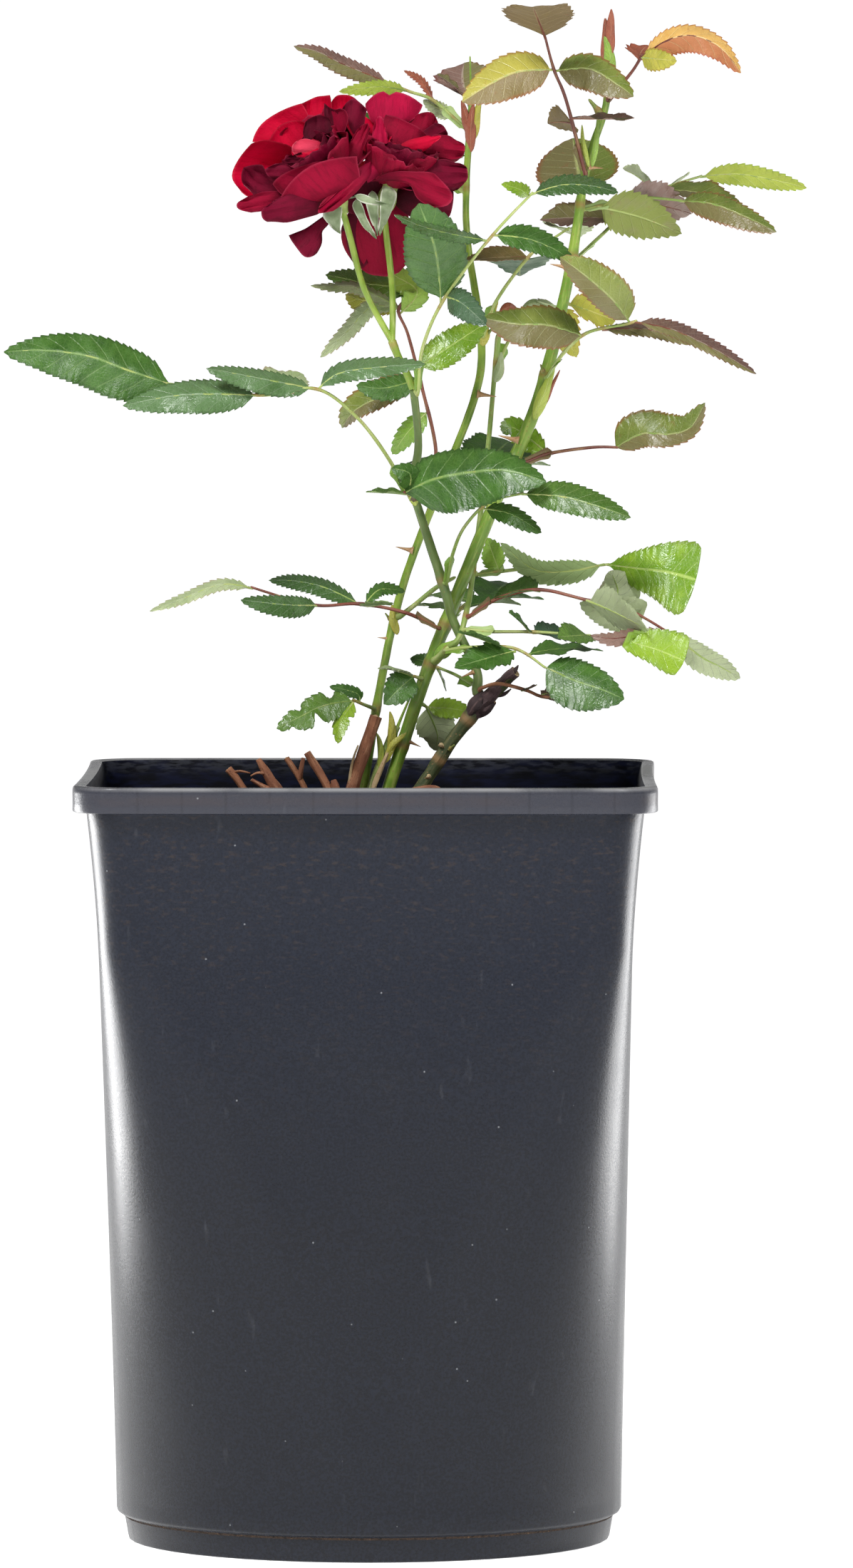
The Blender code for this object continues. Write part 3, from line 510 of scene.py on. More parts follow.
@dataclass
class Stem:
    """A round stem with relief: its line as (x, y, z, radius), and what shapes its skin.

    `joints` are the shares of its length where leaves grew: the stem swells there and turns dark.
    `tip` is how its end closes: "round", "cut" or "point".
    """

    line: Sequence[Point]
    bark: Bark
    sides: int = 20
    step: float = 0.9
    joints: Sequence[float] = ()
    swell: float = 0.16
    rough: float = 0.015
    tip: str = "round"
    flat_foot: bool = False
    seed: int = 0

    def rings(self) -> tuple[np.ndarray, np.ndarray, np.ndarray, np.ndarray]:
        """The rings' points, their grain and looks, and the resampled line."""
        line = resample(self.line, self.step)
        if self.tip != "cut":
            line = self.close(line)
        one, two = frames_along(line, self.flat_foot)
        run = run_along(line[:, :3])
        turn = np.linspace(0, 2 * pi, self.sides, endpoint=False)
        draw = Random(self.seed)
        radius = line[:, 3][:, None] * np.ones_like(turn)[None]
        near = np.zeros(len(run))
        for share in self.joints:
            off = (run - share * run[-1]) / 2.0
            near = np.maximum(near, np.exp(-(off * 1.6) ** 2))
            radius *= 1 + self.swell * np.exp(-off ** 2)[:, None] - 0.06 * np.exp(-(off * 6) ** 2)[:, None]
        relief = np.zeros_like(radius)
        for wave in range(7):
            round_, along = draw.choice((2, 3, 4, 5, 7, 9)), draw.uniform(0.1, 0.9)
            relief += np.cos(round_ * turn[None] + along * run[:, None] * (1 if wave % 2 else -1)
                             + draw.uniform(0, 6)) * draw.uniform(0.4, 1)
        radius *= 1 + self.rough * relief
        ring = (np.cos(turn)[None, :, None] * one[:, None] + np.sin(turn)[None, :, None] * two[:, None])
        points = line[:, None, :3] + radius[..., None] * ring
        grain = on_grid(radius.shape, radius * np.cos(turn), radius * np.sin(turn),
                        run[:, None] + 40.0 * self.seed)
        looks = on_grid(radius.shape, near[:, None], (run / run[-1])[:, None], draw.random())
        return points, grain, looks, line

    def close(self, line: np.ndarray) -> np.ndarray:
        """The line with a few more rings that close its end to a dome or a point."""
        head = line[-1, :3] - line[-2, :3]
        head /= np.linalg.norm(head)
        radius = line[-1, 3]
        reach = 0.8 if self.tip == "round" else 2.6
        rows = [(*(line[-1, :3] + head * (radius * reach * sin(a))), max(0.02, radius * cos(a)))
                for a in (0.5, 0.95, 1.3, 1.5)]
        return np.vstack([line, rows])

    def grow(self, draft: Draft) -> None:
        """Adds the stem to the draft."""
        points, grain, looks, line = self.rings()
        rows, sides = points.shape[:2]
        faces = tube_faces(rows, sides) + [tuple(reversed(range(sides)))]
        which = [0] * len(faces)
        flat, grains, look = points.reshape(-1, 3), grain.reshape(-1, 3), looks.reshape(-1, 3)
        last = (rows - 1) * sides
        skins = [self.bark.skin]
        if self.tip == "cut":
            skins.append(Bark.PITH.skin)
            centre = points[-1].mean(axis=0)
            head = np.cross(points[-1][1] - points[-1][0], points[-1][2] - points[-1][0])
            head /= np.linalg.norm(head)
            for share, sink in ((0.86, -0.12), (0.45, 0.05), (0.2, 0.25)):
                ring = centre + (points[-1] - centre) * share - head * (sink * line[-1, 3])
                start = len(flat)
                flat, grains = np.vstack([flat, ring]), np.vstack([grains, grain[-1]])
                look = np.vstack([look, looks[-1]])
                for j in range(sides):
                    k = (j + 1) % sides
                    faces.append((last + j, last + k, start + k, start + j))
                    which.append(0 if share > 0.8 else 1)
                last = start
        faces.append(tuple(range(last, last + sides)))
        which.append(len(skins) - 1)
        draft.add(flat, faces, skins, which, grains, look)


@dataclass(frozen=True)
class Sheet:
    """A thin closed shell over a grid of points: leaf skin, a petal, a sepal or a stipule."""

    points: np.ndarray  # rows along it, columns across it
    normals: np.ndarray
    thick: float
    skins: tuple[Material, Material]
    grain: np.ndarray
    looks: np.ndarray

    def grow(self, draft: Draft) -> None:
        """Adds the shell to the draft; its rim is one line of points, so it closes to an edge."""
        rows, columns = self.points.shape[:2]
        below = self.points - self.normals * self.thick
        index = np.arange(rows * columns).reshape(rows, columns)
        under = index.copy()
        inner = np.arange((rows - 2) * (columns - 2)).reshape(rows - 2, columns - 2) + rows * columns
        under[1:-1, 1:-1] = inner
        faces = []
        for i in range(rows - 1):
            for j in range(columns - 1):
                faces.append((index[i, j], index[i, j + 1], index[i + 1, j + 1], index[i + 1, j]))
        upper = len(faces)
        for i in range(rows - 1):
            for j in range(columns - 1):
                faces.append((under[i, j], under[i + 1, j], under[i + 1, j + 1], under[i, j + 1]))
        pack = [np.vstack([a.reshape(-1, 3), b[1:-1, 1:-1].reshape(-1, 3)])
                for a, b in ((self.points, below), (self.grain, self.grain), (self.looks, self.looks))]
        draft.add(pack[0], [tuple(int(v) for v in face) for face in faces], self.skins,
                  [0] * upper + [1] * (len(faces) - upper), pack[1], pack[2])


def normals_of(points: np.ndarray) -> np.ndarray:
    """The direction square to a grid of points at each of them, rows along and columns across."""
    along, across = np.gradient(points, axis=0), np.gradient(points, axis=1)
    made = np.cross(across, along)
    size = np.linalg.norm(made, axis=2, keepdims=True)
    return made / np.maximum(size, 1e-9)


# ---------------------------------------------------------------- leaves


@dataclass(frozen=True)
class Blade:
    """A leaflet: where it leaves its stalk (0 to 1), its reach to the tip, how far its upper side turns
    from up towards the front in degrees, its width over its length, and how far it bows up."""

    at: float
    reach: Point
    face: float
    width: float
    bow: float = 0.05


@dataclass(frozen=True)
class Leaf:
    """A compound leaf: the cane it grows on, a letter for each leaflet's tone, its stalk and leaflets."""

    name: str
    cane: str
    tones: str
    stalk: Sequence[Point]
    blades: Sequence[Blade]


TONES = {"D": Tone.DARK, "B": Tone.BLUE, "G": Tone.MID, "L": Tone.LIGHT, "E": Tone.LIME, "Y": Tone.YELLOW,
         "O": Tone.OLIVE, "M": Tone.MAUVE, "A": Tone.AMBER, "P": Tone.PALE, "R": Tone.RUST, "W": Tone.DRY,
         "K": Tone.FADING, "U": Tone.DUSK, "S": Tone.SILVER, "F": Tone.FRESH}


@dataclass(frozen=True)
class Lay:
    """How one leaflet hangs as seen from the front, in mm.

    `way` is its rib from the foot on, as (x, z); `high` and `low` its half widths above and below the
    rib; `behind` how far those margins stand behind it. `late` over 1 moves its widest place to the
    tip. `bites` are places eaten from its margin: (share of the length, -1 above or 1 below, depth).
    """

    way: Sequence[Point]
    high: float
    low: float
    behind: Point = (4.0, -3.0)
    upper: bool = True
    late: float = 1.0
    belly: float = 1.5
    bites: Sequence[tuple[float, int, float]] = ()
    fan: bool = False  # a wedge that ends broad


OUTLINE = ((0.0, 0.045, 0.075, 0.11, 0.16, 0.26, 0.38, 0.50, 0.64, 0.76, 0.87, 0.95, 1.0),
           (0.0, 0.0, 0.22, 0.44, 0.65, 0.90, 1.0, 0.98, 0.86, 0.67, 0.40, 0.17, 0.0))
FAN = ((0.0, 0.05, 0.25, 0.55, 0.80, 0.92, 0.98, 1.0), (0.0, 0.05, 0.36, 0.66, 0.94, 1.0, 0.80, 0.2))
ACROSS = np.array([-1, -0.86, -0.62, -0.38, -0.16, 0, 0.16, 0.38, 0.62, 0.86, 1])
FOLD = 0.16  # how far the edges stand above the midrib, over the half width
QUILT = 0.006  # how far the skin swells up between the side veins, over the length


@dataclass(frozen=True)
class Leaflet:
    """One serrated leaflet as a thin closed shell with its rib.

    `spec` gives its reach and turn as the solid has them; `seed` gives its own curl, ripple and teeth.
    """

    foot: Vector
    spec: Blade
    tone: Tone
    seed: float
    lay: Lay | None = None
    tooth: float = 2.3
    thick: float = 0.32

    def axes(self) -> tuple[np.ndarray, np.ndarray, np.ndarray]:
        """The directions ahead, across and up from its upper side."""
        ahead = Vector(self.spec.reach).normalized()
        up = Vector((0, 1, 0.25)) if abs(ahead.z) > 0.97 else Vector((0, 0, 1))
        up = (up - ahead * up.dot(ahead)).normalized()
        across = ahead.cross(up)
        if across.y > 0:
            across = -across
        turn = radians(self.spec.face)
        normal = cos(turn) * up + sin(turn) * across
        return np.array(ahead), np.array(ahead.cross(normal)), np.array(normal)

    def rows(self, length: float) -> tuple[np.ndarray, np.ndarray]:
        """The rows' shares of the length, and how far the margin stands out at each, in mm."""
        teeth = int(min(20, max(7, round(0.88 * length / self.tooth))))
        space = 0.88 / teeth
        shares, out = [0.0, 0.045, 0.065], [0.0, 0.0, 0.0]
        for tooth in range(teeth):
            for phase, height in ((0.0, 0.0), (0.35, 0.38), (0.70, 0.80), (0.95, 1.0)):
                shares.append(0.09 + (tooth + phase) * space)
                out.append(height * 0.42 * space * length)
        return np.array(shares + [0.975, 0.99, 1.0]), np.array(out + [0.0, 0.0, 0.0])

    @staticmethod
    def quilt(t: np.ndarray, s: np.ndarray, length: float) -> np.ndarray:
        """How far the skin swells up between the side veins, at these shares along and across."""
        swell = np.abs(np.sin(pi * (t[:, None] * VEIN_PAIRS - VEIN_SLANT * np.abs(s))))
        return QUILT * length * swell * (1 - np.abs(s) ** 3) * np.sin(pi * t)[:, None] ** 0.5

    def grow(self, draft: Draft) -> None:
        """Adds the leaflet to the draft."""
        if self.lay:
            return self.hang(draft, self.lay)
        draw = Random(self.seed)
        ahead, across, normal = self.axes()
        length = Vector(self.spec.reach).length
        t, out = self.rows(length)
        half = np.interp(t, *OUTLINE) * self.spec.width * length / 2
        half = np.maximum(half, 0.28 * (1 - t) + 0.02)
        s = ACROSS[None, :]
        edge = np.abs(s) ** 6
        reach_out = half[:, None] * s + np.sign(s) * edge * out[:, None] * np.minimum(1, half / 2)[:, None]
        fade = np.sin(pi * t) ** 0.5
        fold = FOLD * half[:, None] * (np.sqrt(s * s + 0.012) - 0.11) * draw.uniform(0.8, 1.4)
        curl = draw.uniform(-0.10, 0.16) * half[:, None] * s * s
        ripple = (draw.uniform(0.010, 0.030) * length * np.abs(s) ** 2 * fade[:, None]
                  * np.sin(2 * pi * (t[:, None] * draw.uniform(2.0, 3.4) + draw.random()
                                     + 0.25 * np.sign(s))))
        bow = 4 * self.spec.bow * length * t * (1 - t)
        droop = draw.uniform(0.0, 0.10) * length * (t - t ** 3) * -0.8
        lift = (bow + droop)[:, None] + fold + self.quilt(t, s, length) + curl + ripple
        twist = draw.uniform(-0.5, 0.5) * (t - 0.35)
        sway = draw.uniform(-0.05, 0.05) * length * np.sin(pi * t)
        wide, high = np.cos(twist)[:, None], np.sin(twist)[:, None]
        flat, tall = reach_out * wide, lift + reach_out * high
        points = (np.array(self.foot)[None, None] + ahead * (t * length)[:, None, None]
                  + across * (flat + sway[:, None])[..., None] + normal * tall[..., None])
        chance = draw.random()
        looks = on_grid(flat.shape, np.abs(s), t[:, None], chance)
        grain = on_grid(flat.shape, flat, 60 * chance, (t * length)[:, None])
        Sheet(points, normals_of(points), self.thick, self.tone.skins, grain, looks).grow(draft)
        self.rib(draft, points[:, len(ACROSS) // 2], normal)

    def hang(self, draft: Draft, lay: Lay) -> None:
        """Adds the leaflet, laid out as it hangs."""
        draw = Random(self.seed)
        foot, depth = self.foot, self.spec.reach[1]
        line = [(foot.x, foot.z), *lay.way]
        share = np.linspace(0, 1, len(line))
        line = [(x, foot.y + depth * k - lay.belly * 4 * k * (1 - k), z) for (x, z), k in zip(line, share)]
        length = length_of(line)
        t, out = self.rows(length)
        rib = np.array(curve_at(line, 60))
        run = run_along(rib)
        rib = rows_at(rib, run, t * run[-1])
        ahead = np.gradient(rib[:, [0, 2]], t, axis=0)
        ahead /= np.linalg.norm(ahead, axis=1, keepdims=True)
        up = np.stack([-ahead[:, 1], ahead[:, 0]], axis=1)
        up = up * (1 if up[:, 1].sum() > 0 else -1)
        shape = np.interp(t, *FAN) if lay.fan else np.interp(t ** lay.late, *OUTLINE) ** 0.78
        s = ACROSS[None, :]
        above = s < 0
        wide = np.where(above, lay.high, lay.low) * np.maximum(shape, 0.03)[:, None]
        for place, side, deep in lay.bites:
            wide = wide * np.where(np.sign(s) == side,
                                   1 - deep * np.exp(-((t[:, None] - place) / 0.05) ** 2), 1)
        wide = np.abs(s) * wide + np.abs(s) ** 6 * 0.6 * out[:, None] * np.minimum(1, wide)
        deep = np.where(above, *lay.behind) * shape[:, None] * np.abs(s) ** 1.2
        ripple = (draw.uniform(0.012, 0.026) * length * s ** 2 * np.sin(pi * t)[:, None]
                  * np.sin(2 * pi * (t[:, None] * draw.uniform(1.8, 3.0) + draw.random() + 0.3 * above)))
        flat = rib[:, None, [0, 2]] + up[:, None] * np.where(above, wide, -wide)[..., None]
        points = np.stack([flat[..., 0], rib[:, None, 1] + deep + ripple, flat[..., 1]], axis=-1)
        quilt = self.quilt(t, s, length)
        turned = (normals_of(points)[..., 1].mean() < 0) != lay.upper
        chance = draw.random()
        looks = on_grid(wide.shape, np.abs(s), t[:, None], chance)
        grain = on_grid(wide.shape, np.where(above, -wide, wide), 60 * chance, t[:, None] * length)
        if turned:
            points, looks, grain, quilt = points[:, ::-1], looks[:, ::-1], grain[:, ::-1], quilt[:, ::-1]
        points = points + normals_of(points) * quilt[..., None]
        normals = normals_of(points)
        Sheet(points, normals, self.thick, self.tone.skins, grain, looks).grow(draft)
        self.rib(draft, points[:, len(ACROSS) // 2], normals[:, len(ACROSS) // 2].mean(axis=0))

    def rib(self, draft: Draft, middle: np.ndarray, normal: np.ndarray) -> None:
        """The stalk and midrib, proud of the underside."""
        picked = middle[:: max(1, len(middle) // 12)]
        size = np.linspace(0.42, 0.10, len(picked))
        line = [(*(p - normal * (0.30 - 0.1 * i / len(picked))), r)
                for i, (p, r) in enumerate(zip(picked, size))]
        bark = Bark.RED if self.tone in (Tone.OLIVE, Tone.MAUVE, Tone.AMBER, Tone.RUST) else Bark.PALE
        Stem(line, bark, sides=6, step=2.2, rough=0.0,
             seed=int(1000 * Random(self.seed).random())).grow(draft)


@dataclass
class CompoundLeaf:
    """A compound leaf: an arching stalk with a pair of stipules, and its leaflets."""

    spec: Leaf
    cane: Sequence[Point]
    foot_radius: float = 0.68
    tip_radius: float = 0.42
    stipule_length: float = 11.0

    def line(self) -> list[tuple]:
        """The stalk's line, which starts square to its cane and clear of it, as the solid's does."""
        centre, along, radius = nearest_on(self.cane, self.spec.stalk[0])
        out = Vector(self.spec.stalk[0]) - centre
        if out.length < 0.5:
            out = Vector(self.spec.stalk[1]) - centre
        out = (out - along * out.dot(along)).normalized()
        start, collar = centre + out * (radius + GAP), centre + out * (radius + GAP + 1.6)
        rest = [Vector(p) for p in self.spec.stalk[1:]]
        span = self.foot_radius - self.tip_radius
        line = [(*collar, self.foot_radius)]
        line += [(*p, self.tip_radius + span * (1 - (i + 1) / len(rest))) for i, p in enumerate(rest)]
        return [(*start, self.foot_radius * 1.3)] + line

    def solid_line(self, line: Sequence[Point]) -> list[tuple]:
        """The same line as the solid's rings follow it, on which the leaflets' places are measured."""
        return [line[0]] + curve_at(line[1:], max(2, round(length_of(line[1:]) / 10.0)))

    def grow(self) -> Object:
        """Makes the leaf's piece."""
        draft = Draft(self.spec.name)
        line = self.line()
        warm = sum(self.spec.tones.count(letter) for letter in "OMAR") > len(self.spec.tones) / 2
        bark = Bark.DEAD if "W" in self.spec.tones else Bark.RED if warm else Bark.PALE
        if self.spec.name in RED_STALKS:
            bark = Bark.RED
        seed = sum(ord(letter) for letter in self.spec.name)
        Stem(line, bark, sides=8, step=1.6, joints=[b.at for b in self.spec.blades if b.at < 0.97],
             swell=0.12, rough=0.02, seed=seed).grow(draft)
        path = self.solid_line(line)
        for number, (blade, letter) in enumerate(zip(self.spec.blades, self.spec.tones)):
            share = min(blade.at, 1 - 0.6 / length_of(path))
            Leaflet(point_at(path, share), blade, TONES[letter], seed + 31 * number,
                    LAYS.get((self.spec.name, number))).grow(draft)
        if length_of(path) > 15 and "W" not in self.spec.tones:
            self.stipules(draft, line, bark)
        return draft.build()

    def stipules(self, draft: Draft, line: Sequence[Point], bark: Bark) -> None:
        """The pair of narrow wings along the stalk's first stretch, each ending in a free point."""
        path = resample(line[1:], 1.0)[: int(self.stipule_length)]
        one, two = frames_along(path)
        t = np.linspace(0, 1, len(path))
        shape = np.interp(t, (0, 0.1, 0.55, 0.8, 0.9, 1.0), (0.3, 1.0, 1.1, 1.5, 1.3, 0.1))
        tone = Tone.LIGHT if bark is Bark.PALE else Tone.OLIVE
        for side in (-1, 1):
            columns = np.array([0.3, 0.8, 1.3, 1.7])
            lean = np.interp(t, (0, 0.75, 1.0), (0.2, 0.3, 1.0))
            points = (path[:, None, :3] + one[:, None] * (side * shape[:, None] * columns)[..., None]
                      + two[:, None] * (lean[:, None] * columns * 0.6)[..., None])
            if side < 0:
                points = points[:, ::-1]
            looks = np.zeros_like(points)
            looks[..., 0], looks[..., 1] = 0.5, 0.5
            Sheet(points, normals_of(points), 0.25, tone.skins, points, looks).grow(draft)


@dataclass(frozen=True)
class Husk:
    """A sheath, stipule or furled leaf on a cane: its middle line as (x, y, z), its half width at its
    widest, how far round the cane it curls in degrees, its tone, and whether it is widest near its
    end (over 1) or its foot (under 1)."""

    cane: str
    line: Sequence[Point]
    half: float
    tone: Tone
    curl: float = 60.0
    late: float = 0.7

    def grow(self, draft: Draft) -> None:
        """Adds the husk to the draft, as a thin curled shell."""
        line = np.array(curve_at(self.line, 14))
        t = np.linspace(0, 1, len(line))
        ahead = np.gradient(line, axis=0)
        ahead /= np.linalg.norm(ahead, axis=1, keepdims=True)
        across = np.cross(ahead, (0.0, 1.0, 0.0))
        across /= np.linalg.norm(across, axis=1, keepdims=True)
        back = np.cross(across, ahead)
        back *= np.where(back[:, 1:2] < 0, -1, 1)
        half = self.half * (np.sin(pi * np.clip(t ** self.late, 0.02, 0.985)) ** 0.8 + 0.06)
        turn = np.linspace(-1, 1, 9)[None] * radians(self.curl)
        radius = half[:, None] / max(0.3, sin(min(pi / 2, radians(self.curl))))
        wave = 0.10 * half[:, None] * np.sin(9 * t[:, None] + 4 * turn)
        points = (line[:, None] + across[:, None] * (radius * np.sin(turn) + wave)[..., None]
                  + back[:, None] * (radius * (1 - np.cos(turn)) + wave)[..., None])
        looks = on_grid(wave.shape, np.abs(turn) / np.abs(turn).max(), t[:, None], 0.5)
        if normals_of(points)[..., 1].mean() > 0:
            points, looks = points[:, ::-1], looks[:, ::-1]
        Sheet(points, normals_of(points), 0.22, self.tone.skins, points, looks).grow(draft)


# ---------------------------------------------------------------- tables of growth


@dataclass(frozen=True)
class Cane:
    """A tapering stem: its skin, its centre line as (x, y, z, radius), and the cane it grows on."""

    name: str
    bark: Bark
    line: Sequence[Point]
    parent: str = ""


SOIL_TOP = 231.0
GROUND = SOIL_TOP + GAP

CANES = [
    Cane("main_cane", Bark.GREEN, [
        (1, 2, GROUND, 2.4), (7, 2, 249, 2.15), (20, 0, 288, 2.15), (40, 0, 338, 2.15),
        (56, 2, 376, 2.1), (66, 6, 417, 1.8), (71.5, 8, 451, 1.35), (78, 7, 472, 1.15),
        (78.5, 6, 486, 0.95), (79, 5, 493, 0.7)]),
    Cane("tall_cane", Bark.GREEN, [
        (-4, 6, GROUND, 1.7), (2, 6, 271, 1.45), (10, 8, 310, 1.35), (21.5, 10, 342, 1.3),
        (34.5, 14, 375, 1.3), (37, 15.5, 395, 1.3), (32.5, 21, 427, 1.15), (32, 24, 446, 1.1),
        (33.5, 27, 470, 1.1), (33.5, 28, 476, 0.5), (33.2, 28, 488, 0.28)]),
    Cane("old_cane", Bark.OLD, [
        (7, -5, GROUND, 2.6), (18, -6, 249, 2.1), (27, -8, 263, 2.1), (33, -9, 271, 2.3),
        (36.5, -9, 275.5, 3.0), (41, -12, 279, 2.0), (48, -17, 286.5, 1.6)]),
    Cane("bloom_cane", Bark.SAGE, [
        (36, -8.8, 280, 1.8), (35.5, -8, 287, 1.5), (28, -7.5, 303, 1.45), (25, -10, 314, 1.6),
        (15.5, -9, 343, 1.4), (14.5, -9, 348, 1.7), (16.5, -11, 361, 1.3), (15, -14, 379, 1.3)],
        "old_cane"),
    Cane("side_cane", Bark.PALE, [
        (22, -3, 290, 1.4), (26, -11, 294, 1.1), (30, -14, 298, 0.95), (32.5, -6, 307, 0.9),
        (34, 2, 316, 0.9), (38.5, 14, 352, 0.85), (41.5, 17, 385, 0.8), (42.5, 18, 395, 1.0)],
        "main_cane"),
    Cane("thin_shoot", Bark.PALE, [
        (10, 5, 304, 1.0), (14, 3, 307, 0.8), (22, 2, 313.5, 0.75), (27.5, 5, 316.5, 0.6)],
        "tall_cane"),
    Cane("tall_stub", Bark.DEAD, [(-10, -4, GROUND, 2.3), (-5, -4, 249, 2.1), (2.5, -4, 271.5, 2.0)]),
    Cane("shaggy_stub", Bark.PALE, [(-4, -1, GROUND, 1.3), (1.5, 0, 250, 1.2), (9, 1, 268, 1.5)]),
    Cane("stub_left", Bark.DEAD, [(-32, -12, GROUND, 1.3), (-41, -12, 248, 1.15), (-46, -12, 254.5, 1.25)]),
    Cane("stub_thick", Bark.DEAD, [(-20, -18, GROUND, 2.2), (-30, -18, 248, 2.0), (-36, -18, 258, 0.9)]),
    Cane("stub_thin", Bark.DEAD, [(-15, -8, GROUND, 1.2), (-21, -8, 248, 1.0), (-27, -8, 258, 0.9)]),
    Cane("stub_near", Bark.DEAD, [(-6, -14, GROUND, 1.6), (-13, -14, 248, 1.4), (-20, -14, 260, 1.2)]),
]

THORN_LENGTH = 5.0  # of the shape that the thorns are copies of
THORNS = [  # cane, height, direction, length
    ("main_cane", 453, (1, 0, 0.1), 4.5), ("main_cane", 419, (-1, 0, 0.2), 5.5),
    ("main_cane", 361, (-1, 0, 0.1), 6.5), ("main_cane", 263, (0.9, 0, -0.5), 4.5),
    ("tall_cane", 377, (1, 0, 0), 6.0), ("tall_cane", 325, (-1, 0, 0.1), 5.5),
    ("tall_cane", 296, (-1, 0, 0), 3.0), ("bloom_cane", 287, (-1, 0, -0.4), 4.5),
]

